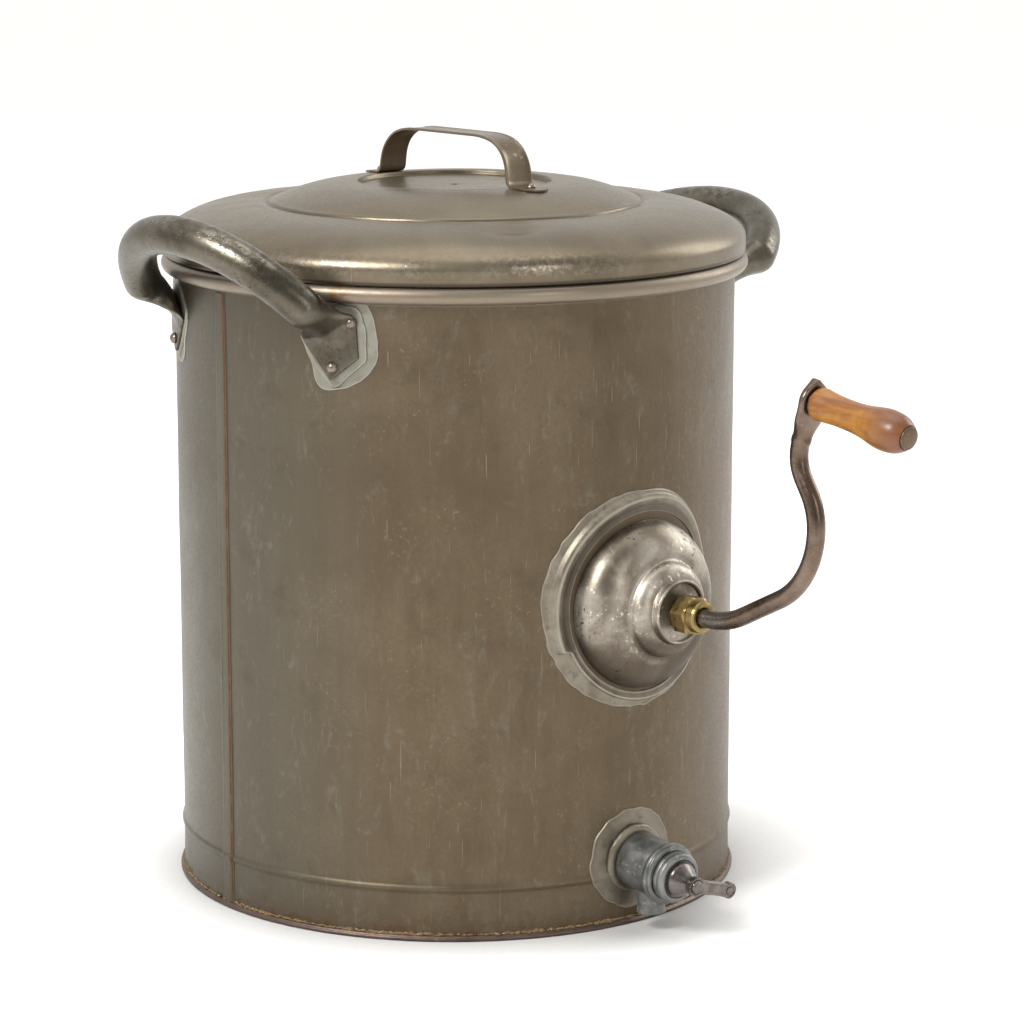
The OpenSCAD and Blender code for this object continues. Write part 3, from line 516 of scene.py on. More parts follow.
def dome_shade(g, colour, roughness):
    """Painted brown shade wherever the dome faces down or towards +Y."""
    _, side, up = g.facing()
    tilt = g.plus(up, g.times(side, -0.25))
    uneven = g.times_plus(g.noise(60.0, 4.0, 0.65), 0.5, -0.25)
    under = g.ramp(g.plus(tilt, uneven), -0.25, 0.3, 1.0, 0.0)
    # Painted shade on the underside and +Y side of the dome.
    colour = g.tint(colour, (0.062, 0.044, 0.028), under, 0.88)
    return colour, g.larger(roughness, g.times(under, 0.5))


def rod_wear(g, colour, roughness):
    """The crank is rubbed grey where it leaves the nut."""
    worn = g.ramp(g.x, 0.288, 0.304, 0.75, 0.0)
    return g.tint(colour, (0.21, 0.195, 0.175), worn), roughness


def tube_wear_and_highlight(g, colour, roughness):
    """Along the top of the tube: tin rubbed bright, and a painted highlight where the tube faces up."""
    # Partly wear, partly a painted highlight on the upward-facing top of the tube.
    top = g.ramp(g.facing()[2], 0.1, 0.75)
    broken = g.patchy(160.0, 4.0, 0.72, 0.43, 0.56)
    where = g.patchy(24.0, 3.0, 0.6, 0.36, 0.6)
    worn = g.times(g.times(top, where), broken)
    colour = g.tint(colour, (0.19, 0.178, 0.145), worn, 0.65)
    return colour, g.minus(roughness, g.times(worn, 0.12))


def foot_dirt(g, colour, roughness):
    """Brown crust that spreads on the foot, and stops short of the floor."""
    crust = g.patchy(330.0, 3.0, 0.7, 0.47, 0.6)
    where = g.times(g.ramp(g.z, 0.0022, 0.0042), g.ramp(g.noise(17.0, 3.0), 0.35, 0.55))
    amount = g.times(crust, where)
    colour = g.tint(colour, (0.14, 0.08, 0.03), amount)
    return colour, g.larger(roughness, g.times(amount, 0.85))


def crust_material():
    g = Graph("foot_crust")
    tone = g.noise(450.0, 3.0, 0.7)
    colour = g.mix(g.ramp(tone, 0.35, 0.5), (0.05, 0.030, 0.016), (0.15, 0.095, 0.042))
    colour = g.tint(colour, (0.35, 0.26, 0.09), g.ramp(g.noise(700.0, 2.0), 0.60, 0.66))
    return g.finished(colour, 0.85, 0.0, tone, 0.25)


def solder_material(name, dark, light, rim):
    """Flat pale solder with a thin lighter outline where it was dressed back, which on the housing ring is a
    painted highlight along its crest; painted shade darkens the ring's inner slope.
    """
    g = Graph(name)
    cloud = g.noise(55.0, 4.0, 0.6)
    colour = g.mix(g.ramp(cloud, 0.3, 0.7), dark, light)
    brown = g.patchy(120.0, 3.0, 0.65, 0.58, 0.7)
    colour = g.tint(colour, [c * 0.5 for c in dark], brown, 0.45)
    # Painted shade where edge is below zero: the housing ring's inner slope.
    slope = g.ramp(g.edge(), -0.9, -0.1, 0.7, 0.0)
    colour = g.tint(colour, (0.05, 0.036, 0.024), slope)
    # A lighter outline on a patch's dressed border, and a painted highlight on the housing ring's crest.
    edge = g.ramp(g.edge(), 0.45, 0.95)
    colour = g.tint(colour, [min(1, c * 1.5 + 0.04) for c in light], edge, rim)
    height = g.times_plus(cloud, 0.8, g.times(g.noise(500.0, 2.0), 0.2))
    return g.finished(colour, g.ramp(cloud, 0.3, 0.7, 0.34, 0.5), 0.6, height, 0.25)


def brass_material():
    g = Graph("brass")
    cloud = g.noise(140.0, 4.0, 0.6)
    darkening = g.patchy(90.0, 3.0, 0.6, 0.5, 0.68)
    colour = g.mix(g.ramp(cloud, 0.3, 0.7), (0.19, 0.128, 0.042), (0.30, 0.225, 0.095))
    colour = g.tint(colour, (0.17, 0.10, 0.035), darkening, 0.6)
    roughness = g.plus(g.ramp(cloud, 0.3, 0.7, 0.26, 0.42), g.times(darkening, 0.15))
    return g.finished(colour, roughness, 0.95, g.noise(700.0, 2.0), 0.04)


def lead_material():
    """Dark blue-grey lead alloy, dulled and scuffed whitish."""
    g = Graph("lead")
    cloud = g.noise(60.0, 4.0, 0.6)
    colour = g.mix(g.ramp(cloud, 0.3, 0.7), (0.10, 0.102, 0.098), (0.22, 0.22, 0.21))
    scuff = g.times(g.patchy(85.0, 5.0, 0.7, 0.55, 0.66), g.ramp(g.noise(420.0, 2.0), 0.4, 0.6))
    colour = g.tint(colour, (0.45, 0.46, 0.46), scuff, 0.6)
    return g.finished(colour, g.ramp(cloud, 0.3, 0.7, 0.30, 0.46), 0.7, g.noise(260.0, 3.0), 0.12)


def wood_material():
    """Varnished turned wood: grain along the grip, darker and redder towards the bulb."""
    g = Graph("wood")
    lie = g.stretched((9.0, 120.0, 120.0), (0, -math.degrees(math.asin(-GRIP_AXIS.z)), 0))
    grain = g.noise(1.0, 5.0, 0.65, 0.8, at=lie)
    fleck = g.noise(1.0, 2.0, 0.5, at=g.stretched((60.0, 420.0, 420.0), (0, -9, 0)))
    blot = g.noise(38.0, 3.0, 0.6)
    colour = g.mix(g.ramp(grain, 0.34, 0.66), (0.15, 0.045, 0.003), (0.30, 0.118, 0.009))
    colour = g.tint(colour, (0.17, 0.055, 0.012), g.ramp(fleck, 0.5, 0.68, 0.0, 0.55))
    colour = g.tint(colour, (0.36, 0.165, 0.018), g.ramp(blot, 0.46, 0.6, 0.0, 0.65))
    end = g.ramp(g.x, (GRIP_AT.x + 45) * MM, (GRIP_AT.x + 82) * MM, 0.0, 0.85)
    colour = g.tint(colour, (0.12, 0.038, 0.012), end)
    near = g.ramp(g.x, (GRIP_AT.x + 5) * MM, (GRIP_AT.x + 9) * MM, 0.45, 0.0)
    colour = g.tint(colour, (0.13, 0.05, 0.015), near)
    return g.finished(colour, g.ramp(blot, 0.3, 0.7, 0.36, 0.5), 0.0, grain, 0.12,
                      {"Coat Weight": 0.22, "Coat Roughness": 0.22, "IOR": 1.45})


def leather_material():
    g = Graph("leather")
    colour = g.mix(g.ramp(g.noise(60.0), 0.35, 0.65), (0.07, 0.03, 0.012), (0.15, 0.07, 0.03))
    return g.finished(colour, 0.55, 0.0, g.noise(900.0, 3.0, 0.6), 0.15)


def hemp_material():
    g = Graph("packing")
    twist = g.noise(1.0, 3.0, 0.6, at=g.stretched((700.0, 160.0, 160.0), (0, 20, 0)))
    colour = g.mix(g.ramp(twist, 0.3, 0.7), (0.16, 0.11, 0.05), (0.38, 0.29, 0.16))
    return g.finished(colour, 0.9, 0.0, twist, 0.5)


def cast_material():
    g = Graph("cast_iron")
    oil = g.noise(35.0, 3.0)
    colour = g.mix(g.ramp(oil, 0.35, 0.65), (0.035, 0.032, 0.03), (0.075, 0.068, 0.06))
    colour = g.tint(colour, (0.16, 0.06, 0.02), g.patchy(80.0, 4.0, 0.7, 0.58, 0.68), 0.5)
    return g.finished(colour, g.ramp(oil, 0.35, 0.65, 0.42, 0.66), 0.75, g.noise(650.0, 3.0, 0.7), 0.25)


TINS = {
    "tinplate": dict(dark=(0.088, 0.063, 0.037), light=(0.126, 0.095, 0.060), rust=0.6, specks=0.28,
                     upright_streaks=0.3, scratch=0.6, dirt_and_painted_light=wall_dirt_and_shade),
    "seam": dict(dark=(0.082, 0.073, 0.056), light=(0.122, 0.113, 0.089), dirt_and_painted_light=seam_dirt),
    "lid_tinplate": dict(dark=(0.128, 0.102, 0.068), light=(0.182, 0.151, 0.104), rough=(0.28, 0.44),
                         upright_streaks=0.15, rust=0.5, specks=0.15, dirt_and_painted_light=lid_wear_and_shade),
    "strap": dict(dark=(0.125, 0.097, 0.063), light=(0.20, 0.157, 0.112), rough=(0.26, 0.42), specks=0.5),
    "foot_iron": dict(dark=(0.075, 0.052, 0.045), light=(0.13, 0.095, 0.078), scratch=0.2, dirt_and_painted_light=foot_dirt),
    "dome_tin": dict(dark=(0.15, 0.122, 0.09), light=(0.46, 0.42, 0.355), rough=(0.31, 0.48), metal=0.9,
                     patches=24.0, upright_streaks=0.1, specks=0.8, pits=0.9, dirt_and_painted_light=dome_shade, bump=0.12),
    "handle_tube": dict(dark=(0.060, 0.051, 0.036), light=(0.130, 0.114, 0.088), rough=(0.24, 0.42),
                        metal=0.88, patches=26.0, upright_streaks=0.1, pits=0.55, dirt_and_painted_light=tube_wear_and_highlight, bump=0.12),
    "rivet": dict(dark=(0.12, 0.095, 0.07), light=(0.30, 0.26, 0.215), rough=(0.24, 0.4), patches=120.0,
                  scratch=0, specks=0),
    "bar_iron": dict(dark=(0.12, 0.105, 0.09), light=(0.24, 0.22, 0.19), rust=0.6, scratch=0),
    "steel": dict(dark=(0.075, 0.047, 0.030), light=(0.135, 0.088, 0.058), rough=(0.25, 0.42), patches=60.0,
                  scratch=0),
    "crank_steel": dict(dark=(0.088, 0.060, 0.043), light=(0.185, 0.136, 0.105), rough=(0.22, 0.38),
                        metal=0.94, patches=34.0, upright_streaks=0.25, scratch=0, specks=0.15,
                        dirt_and_painted_light=rod_wear, bump=0.06),
    "cage_tin": dict(dark=(0.30, 0.275, 0.235), light=(0.46, 0.43, 0.38), rust=0.7, scratch=0),
    "wire": dict(dark=(0.30, 0.28, 0.25), light=(0.50, 0.47, 0.43), rough=(0.28, 0.4), scratch=0, specks=0),
    "pewter": dict(dark=(0.10, 0.085, 0.078), light=(0.19, 0.165, 0.152), rough=(0.22, 0.36), metal=0.92,
                   patches=70.0, upright_streaks=0.1, scratch=0, specks=0.2, pits=0.3),
}
MATERIALS = {name: aged_tin(name, **looks) for name, looks in TINS.items()}
MATERIALS |= {
    "foot_crust": crust_material(),
    "solder": solder_material("solder", (0.165, 0.157, 0.122), (0.225, 0.217, 0.178), 0.7),
    "old_solder": solder_material("old_solder", (0.135, 0.113, 0.081), (0.225, 0.20, 0.155), 0.45),
    "brass": brass_material(),
    "packing": hemp_material(),
    "cast_iron": cast_material(),
    "wood": wood_material(),
    "lead": lead_material(),
    "leather": leather_material(),
}


def finish_cad_nodes():
    """Each carried-over CAD node takes the material of its record slot."""
    slots = {s["node"]: s["material_slot"] for s in frame["record"]["subparts"]}
    for name, obj in frame["nodes"].items():
        obj.data.materials.clear()
        obj.data.materials.append(MATERIALS[slots[name]])
        crisp(obj, 40)


# ---------- drum ----------

SWAGE_Z, SWAGE_HALF, SWAGE_OUT = 38.5, 4.0, 1.5


def wall_radius(z):
    """Outside of the wall: round, with one swaged bead near the foot."""
    near = min(1.0, abs(z - SWAGE_Z) / SWAGE_HALF)
    return WALL_R + SWAGE_OUT * math.cos(near * math.pi / 2) ** 2


def wall_waves(v):
    """Hand-worked tin isn't true: the sheet lies up to about 0.6 mm inside its round."""
    quiet = smoothstep(v.z, 4, 40) * (1 - smoothstep(v.z, 430, RIM_Z - 8))
    inward = 0.26 * (1 + wobble(v, 85)) + 0.09 * wobble(v, 30, 5)
    scale = 1 - quiet * inward / math.hypot(v.x, v.y)
    return Vector((v.x * scale, v.y * scale, v.z))


def range_from(start, step, count):
    return [start + step * k for k in range(count)]


SWAGE_ZS = range_from(SWAGE_Z - SWAGE_HALF, 1, 9)


def drum_shell():
    low = FOOT_TOP + GAP
    join_out = math.degrees(math.asin((RIM_R - WALL_R) / BEAD_R))
    join_in = math.degrees(math.asin((RIM_R - WALL_R + SHEET) / BEAD_R))
    top = RIM_Z - math.sqrt(BEAD_R ** 2 - (RIM_R - WALL_R) ** 2)
    start, course = 50, 7.5
    courses = int((top - start - 2) / course) + 1
    zs = [low, *range_from(low + 2, 5, 6), *SWAGE_ZS, *range_from(start, course, courses)]
    outer = [(wall_radius(z), z) for z in zs]
    bead = arc(RIM_R, RIM_Z, BEAD_R, -90 - join_out, 270 - join_in, 48)
    inner = [(r - SHEET, z) for r, z in reversed(outer)]
    shape = turned(outer + bead + inner, 480, upright, closed=True, bend=wall_waves)
    shell = piece("drum_shell", shape, "drum", "tinplate", ["drum_wall"])
    shaft_hole = cutter(on_shaft, 50, 150, 250)
    tap_hole = cutter(along(TAP_AT, TAP_AXIS), 16.2, -30, 30)
    combine(shell, "DIFFERENCE", shaft_hole, tap_hole)
    crisp(shell, 50)


def seam():
    """A lock seam: a fold with a round left edge and a rusty groove on the right."""
    section = [(-5.7, -0.7), (-5.6, 0.35), (-5.3, 0.95), (-4.7, 1.2), (-4.0, 1.12), (-3.2, 0.92), (0, 0.85),
               (3.0, 0.9), (3.7, 0.72), (3.95, 0.25), (4.4, 0.12), (4.8, 0.3), (5.1, 0.55), (5.6, 0.5),
               (5.9, 0.1), (6.0, -0.7)]
    top = RIM_Z - BEAD_R - 0.2
    rows = []
    for z in range_from(FOOT_TOP + GAP, 4, 7) + SWAGE_ZS + range_from(48, 5, 83):
        if z < top:
            swell = wall_radius(z) - WALL_R
            sway = 0.25 * wobble((0, 0, z), 60, 3)
            rows.append([on_wall(math.degrees(SEAM_AZ), z, u + sway, 0, d + swell) for u, d in section])
    piece("lock_seam", swept(rows), "drum", "tinplate", ["side_seam"], look="seam", crease=60)


def foot():
    """The rolled foot, a little uneven, with the crust along its joint as a piece of its own."""
    out, high, inside, roll = FOOT_R, FOOT_TOP, WALL_R - 1.1, 1.6
    profile = [(inside, 0), (out - 1.4, 0)] + arc(out - roll, roll, roll, -80, 75, 7)
    profile += [(out - 1.4, high - 0.7), (WALL_R + 0.6, high - 0.1), (inside, high - 0.1)]

    def uneven(v):
        scale = 1 - 0.18 * (1 + wobble(v, 26, 2)) / WALL_R
        return Vector((v.x * scale, v.y * scale, v.z if v.z < 0.01 else v.z - 0.15 * (1 + wobble(v, 14, 4))))
    shape = turned(profile, 420, upright, closed=True, bend=uneven)
    piece("rolled_foot", shape, "drum", "foot_iron", ["foot_ring"], crease=60)

    def lumps(v):
        grow = max(0.0, 0.55 + 0.9 * wobble(v, 3.2, 7) + 0.5 * wobble(v, 45, 9))
        off = Vector((v.x, v.y, 0)).normalized() * WALL_R
        home = Vector((off.x, off.y, high + 0.2))
        return home + (v - home) * min(1.25, grow)
    crust = [(WALL_R - 0.5, high - 1.2), (WALL_R + 1.6, high - 0.8), (WALL_R + 1.9, high + 0.4),
             (WALL_R + 1.0, high + 1.6), (WALL_R - 0.5, high + 2.3)]
    shape = turned(crust, 1600, upright, closed=True, bend=lumps)
    piece("foot_crust", shape, "drum", "foot_iron", look="foot_crust")


# ---------- patches that lie on the wall ----------

def wall_patch(name, az, z, outline, replaces, inner=None, base=-0.5, thick=0.6, lip=0.25, steps=180,
               swage=False, look=None):
    """A closed plate of solder on the wall. outline and inner give radii at an angle; without inner it is a
    full disc. Its edge is rounded and stands lip higher, and the attribute edge is 1 along its border."""
    verts, edge = [], []

    def row(radius, d, value):
        for j in range(steps):
            a = 2 * math.pi * j / steps
            r = radius(a)
            u, v = r * math.cos(a), r * math.sin(a)
            swell = wall_radius(z + v) - WALL_R if swage else 0
            verts.append(on_wall(az, z, u, v, d + swell))
            edge.append(value)
    width = 2.4
    low_in = inner or (lambda a: 1.0)
    if inner:
        row(low_in, base, 0.0)
    row(low_in, thick, 0.0)
    for f in (0.3, 0.6, 0.85):
        row(lambda a, f=f: low_in(a) + f * max(0.5, outline(a) - width - low_in(a)), thick, 0.0)
    for inset, share in ((width, 0.0), (1.5, 0.6), (0.8, 1.0), (0.35, 0.75), (0.0, 0.0)):
        d = thick + lip * share if inset > 0 else thick * 0.25
        row(lambda a, i=inset: max(low_in(a) + 0.4, outline(a) - i), d, 1.0 - inset / width)
    row(outline, base, 1.0)
    last = len(verts) - steps
    faces = grid_faces(len(verts) // steps, steps, closed_rows=inner is not None)
    if inner is None:
        bottom, top = len(verts), len(verts) + 1
        verts += [on_wall(az, z, 0, 0, base), on_wall(az, z, 0, 0, thick)]
        edge += [0.0, 0.0]
        faces += [(j, (j + 1) % steps, top) for j in range(steps)]
        faces += [(last + j, last + (j + 1) % steps, bottom) for j in range(steps)]
    piece(name, (verts, faces), "drum", "solder", replaces, look=look, crease=50, edge=edge)


def uneven_circle(u, v, r, rough, seed):
    """Radius at an angle from the origin of a circle about (u, v), with a hand-cut edge."""
    def radius(a):
        c, s = math.cos(a), math.sin(a)
        along_ray = u * c + v * s
        clear = max(0.0, r * r - (u * u + v * v) + along_ray ** 2)
        return along_ray + math.sqrt(clear) + rough * wobble((r * c, r * s, 0), 9.0, seed)
    return radius


def uneven_polygon(points, rough, seed, size=6.0):
    """Radius at an angle to a polygon about the origin, its corners softened."""
    soft = 0.12

    def ray(a):
        c, s = math.cos(a), math.sin(a)
        best = 0.0
        for (ax, ay), (bx, by) in zip(points, points[1:] + points[:1]):
            dx, dy = bx - ax, by - ay
            cross = c * dy - s * dx
            if abs(cross) < 1e-9:
                continue
            t = (ax * dy - ay * dx) / cross
            k = (ax * s - ay * c) / cross
            if t > 0 and -1e-6 <= k <= 1 + 1e-6:
                best = max(best, t)
        return best

    def radius(a):
        mean = sum(ray(a + soft * k / 3) for k in range(-3, 4)) / 7
        return mean + rough * wobble((30 * math.cos(a), 30 * math.sin(a), 0), size, seed)
    return radius


# ---------- crank housing ----------

dome_low, dome_high = box_mm("housing_dome")
HOUSING_Z = sum(v.z for v in box_mm("housing_collar")) / 2
DOME_R = (dome_high.z - dome_low.z) / 2


def housing_patch():
    outline = uneven_circle(-8.0, 3.0, 79.5, 1.6, 11)
    wall_patch("housing_solder_patch", 0, HOUSING_Z, outline, ["housing_solder"], inner=lambda a: 66.0,
               thick=0.55, steps=300, look="old_solder")


def housing_ring():
    """A raised ring round the housing, high over the top and left, which ends in a step at the lower left."""
    bore = 66.6
    across = [(bore, -0.4), (bore, 0.12), (68.5, 0.16), (71.0, 0.28), (73.2, 0.55), (74.8, 0.86),
              (76.0, 0.98), (77.2, 1.0), (78.6, 0.93), (79.8, 0.68), (80.8, 0.34), (81.5, 0.12), (82.2, 0.02)]
    steps = 420
    verts, edge = [], []
    for r, share in across:
        for j in range(steps):
            a = 360 * j / steps
            left = smoothstep(a, 20, 80) * (1 - smoothstep(a, 201, 205))
            height = 1.6 + 3.0 * left + 0.22 * wobble((*polar(a, 70), 0), 16, 6)
            reach = bore + (r - bore) * (0.42 + 0.58 * left)
            raised = 0.3 + share * height if share > 0 else share
            verts.append(on_wall(0, HOUSING_Z, *polar(a, reach), raised))
            # The edge value paints a highlight on the ring's crest and, below zero, painted shade on its
            # inner slope, deeper where the ring stands high.
            darkening = (1 - smoothstep(r, 70.5, 74.5)) * (0.45 + 0.55 * left)
            edge.append(smoothstep(share, 0.88, 1.0) - darkening)
    shape = verts, grid_faces(len(across), steps, closed_rows=True)
    piece("housing_ring", shape, "drum", "solder", ["housing_collar"], look="old_solder", crease=55,
          edge=edge)


def housing_dome():
    """Two spun bulges and a lipped nose, closed behind by their own thickness."""
    def shell(t):
        skirt = [(DOME_R - t, x) for x in (196, 199, 202, 205)]
        bulge = ellipse(30, 207, DOME_R - 30 - t, 24 - t, range(0, 74, 4))
        neck = ellipse(22, 232, 12.5 - t, 10 - t, range(0, 81, 8))
        return skirt + bulge + [(37.2 - t, 229.9 - t), (35.6 - t, 230.5 - t)] + neck
    lip_back = [(20.6, 245.2), (18.5, 244.9), (10.2, 244.9)]
    lip = [(23.7, 243.4), (23.8, 246.2)] + arc(22.4, 246.6, 1.4, 0, 180, 8) + lip_back
    thick = 1.0
    inside = [(r, x - thick) for r, x in reversed(lip_back)] + shell(thick)[::-1]

    def settle(v):
        wall = math.sqrt(max(0.0, (WALL_R + GAP) ** 2 - v.y ** 2))
        r = math.hypot(v.y, v.z - CRANK_Z)
        dent = 0.55 * wobble(v, 26, 8) * smoothstep(r, 24, 34) * (1 - smoothstep(r, DOME_R - 5, DOME_R - 1))
        x = v.x + dent
        return Vector((max(x, wall) if r > DOME_R - 7 else x, v.y, v.z))
    shape = turned(shell(0) + lip + inside, 240, on_shaft, closed=True, bend=settle)
    piece("crank_dome", shape, "drum", "dome_tin", ["housing_dome"], crease=50)


def gland_nut():
    """A hexagon nut with chamfered corners and a round boss."""
    low, high = box_mm("gland_nut")
    flats, boss, tall, turn = 26.0, 11.6, 20.4, math.radians(12)
    body = [(15.0, 0.9), (15.2, 1.4), (15.2, 10.6), (15.0, 12.2)]
    rows = [(6.9, 0.3), (8.2, 0.0), (12.4, 0.0), *body, (12.9, 13.4), (boss + 0.1, 13.6), (boss, 14.2),
            (boss, 18.6), (boss - 0.5, 19.8), (boss - 1.6, tall), (8.1, tall), (7.2, 19.8), (6.9, 18.8)]
    steps = 240
    verts = []
    for r, h in rows:
        for j in range(steps):
            a = 2 * math.pi * j / steps
            off = (a + turn) % (math.pi / 3) - math.pi / 6
            reach = min(r, flats / 2 / math.cos(off)) if (r, h) in body else r
            x = low.x + h / tall * (high.x - low.x)
            verts.append(Vector(on_shaft(reach * math.cos(a), reach * math.sin(a), x)))
    shape = verts, grid_faces(len(rows), steps, closed_rows=True)
    piece("brass_nut", shape, "drum", "brass", ["gland_nut"], crease=22)


# ---------- crank ----------

def squarish(x, power):
    """A sine or cosine bent so that a circle of power 2 becomes a squarer outline at a higher power."""
    return math.copysign(abs(x) ** (2 / power), x)


def crank_rod():
    """The rod bends like a swan's neck; its outer end is hammered flat into the eye behind the grip."""
    run = [(11, 0), (34, 27), (40, 0), (67, 63), (26, 32), (11, 0), (22, -44), (9, 0), (14, -14), (3, 0)]
    line = bent_line(Vector((265.0, CRANK_Z)), 0.0, run, 2.5, 2)
    eye = Vector((GRIP_AT.x, GRIP_AT.z))
    rod, tip, eye_r, away = 6.5, 15.5, 13.2, 31
    kept = [s for s in line if (s[0] - eye).length > away or s[0].y < eye.y - away]
    shaft = [(Vector((x, CRANK_Z)), 0.0) for x in (-20.0, -19.2, 60.0, 140.0, 200.0, 240.0, 262.0)]
    stations = [(at, heading, rod, rod, 2.0) for at, heading in shaft + kept[2:]]
    start, heading = kept[-1]
    up = Vector(polar(math.degrees(math.atan2(-GRIP_AXIS.x, GRIP_AXIS.z)) % 180))
    # A cubic bend leads from the round rod into the eye, and the rest of the way is straight
    leave, arrive = 9.6, 14.4
    p0, p1, p2, p3 = start, start + Vector(polar(heading)) * leave, eye - up * arrive, eye
    n, neck, shoulder = 44, 0.66, 11
    for k in range(1, n + 1):
        t = k / n
        q = t / neck
        if t <= neck:
            at = p0 * (1 - q) ** 3 + 3 * p1 * q * (1 - q) ** 2 + 3 * p2 * q * q * (1 - q) + p3 * q ** 3
            flow = 3 * (p1 - p0) * (1 - q) ** 2 + 6 * (p2 - p1) * q * (1 - q) + 3 * (p3 - p2) * q * q
        else:
            at, flow = eye + up * tip * (t - neck) / (1 - neck), up
        flat = smoothstep(t, 0.0, 0.34)
        past = (at - eye).dot(up)
        thick = rod + (3.3 - rod) * flat + 0.9 * math.exp(-((t - 0.07) / 0.07) ** 2)
        wide = rod + 6.8 * smoothstep(t, 0.05, 0.5)
        if past > shoulder:
            wide = min(wide, 7.4 * (1 - (past - shoulder) / (tip - shoulder) * 0.8))
        elif past > -4:
            wide = min(wide, math.sqrt(eye_r ** 2 - max(0.0, past) ** 2))
        stations.append((at, math.degrees(math.atan2(flow.y, flow.x)), thick, wide, 2.0 + 1.6 * flat))
    sides = 40
    rows = []
    for at, heading, thick, wide, power in stations:
        x, z = polar(heading)
        normal, centre = Vector((-z, 0, x)), Vector((at.x, 0, at.y))
        ring = [polar(360 * j / sides) for j in range(sides)]
        rows.append([centre + normal * thick * squarish(c, power) + Vector((0, wide * squarish(q, power), 0))
                     for c, q in ring])
    piece("crank_arm", swept(rows), "crank", "crank_steel", ["crank_rod"], crease=60)


def grip_radius(u):
    """The grip's turned outline at a share of its length: a neck, then a bulb that rounds over."""
    bulb = 10.3 + 4.1 * math.exp(-((u - 0.78) / 0.22) ** 2) + 1.4 * math.exp(-(u / 0.15) ** 2)
    over = math.sqrt(1 - 0.45 * max(0, (u - 0.88) / 0.12) ** 2)
    return bulb * over * (1 - 0.06 * max(0, 1 - u / 0.03))


def grip():
    """The turned grip, and the bolt that runs through it and is headed over at its end."""
    place = along(GRIP_AT, GRIP_AXIS)
    start, length, bore, bolt, n = 5.5, 82.0, 4.1, 4.0, 80
    end = start + length
    rows = [(grip_radius(k / n), start + length * k / n) for k in range(n + 1)]
    rows += [(8.4, end + 0.05), (8.2, end - 1.4), (bore, end - 1.6), (bore, start + 1.0)]
    rows += [(grip_radius(0) - 1.2, start)]
    piece("turned_grip", turned(rows, 128, place, closed=True), "grip", "wood", ["wooden_grip"], crease=50)
    cap = [(0, -3.6), (bolt, -3.5), (5.4, -3.4), (5.4, -3.3), (bolt, -3.0), (bolt, end - 1.5)]
    cap += [(8.0, end - 1.2), (8.1, end + 0.6)] + arc(7.3, end + 0.9, 0.8, 0, 80, 5)
    cap += [(6.0, end + 1.9), (3.0, end + 2.3), (0, end + 2.4)]
    piece("grip_bolt", turned(cap, 96, place), "crank", "steel", ["grip_spindle"], crease=50)


# ---------- carrying handles ----------

HOOPS = {"left": dict(side=-1, y=-190.0, z=426.0, tilt=49.0),
         "right": dict(side=1, y=188.0, z=438.0, tilt=28.0)}
PLATE = [(-36, 8), (-13, 28), (9, 23), (11, -8), (-10, -25)]
# The tube comes down across the plate along this direction on the wall
DOWN = Vector((0.385, -0.923))
ACROSS = Vector((0.923, 0.385))
PLATE_MID = Vector((-13.0, 0.0))


def plate_span(s):
    """Left and right ends of the plate on the line at s along the tube's direction."""
    offsets = [Vector(p) - PLATE_MID for p in PLATE]
    pts = [(off.dot(DOWN), off.dot(ACROSS)) for off in offsets]
    hits = []
    for (s0, t0), (s1, t1) in zip(pts, pts[1:] + pts[:1]):
        if min(s0, s1) <= s <= max(s0, s1) and abs(s1 - s0) > 1e-6:
            hits.append(t0 + (t1 - t0) * (s - s0) / (s1 - s0))
    return min(hits), max(hits)


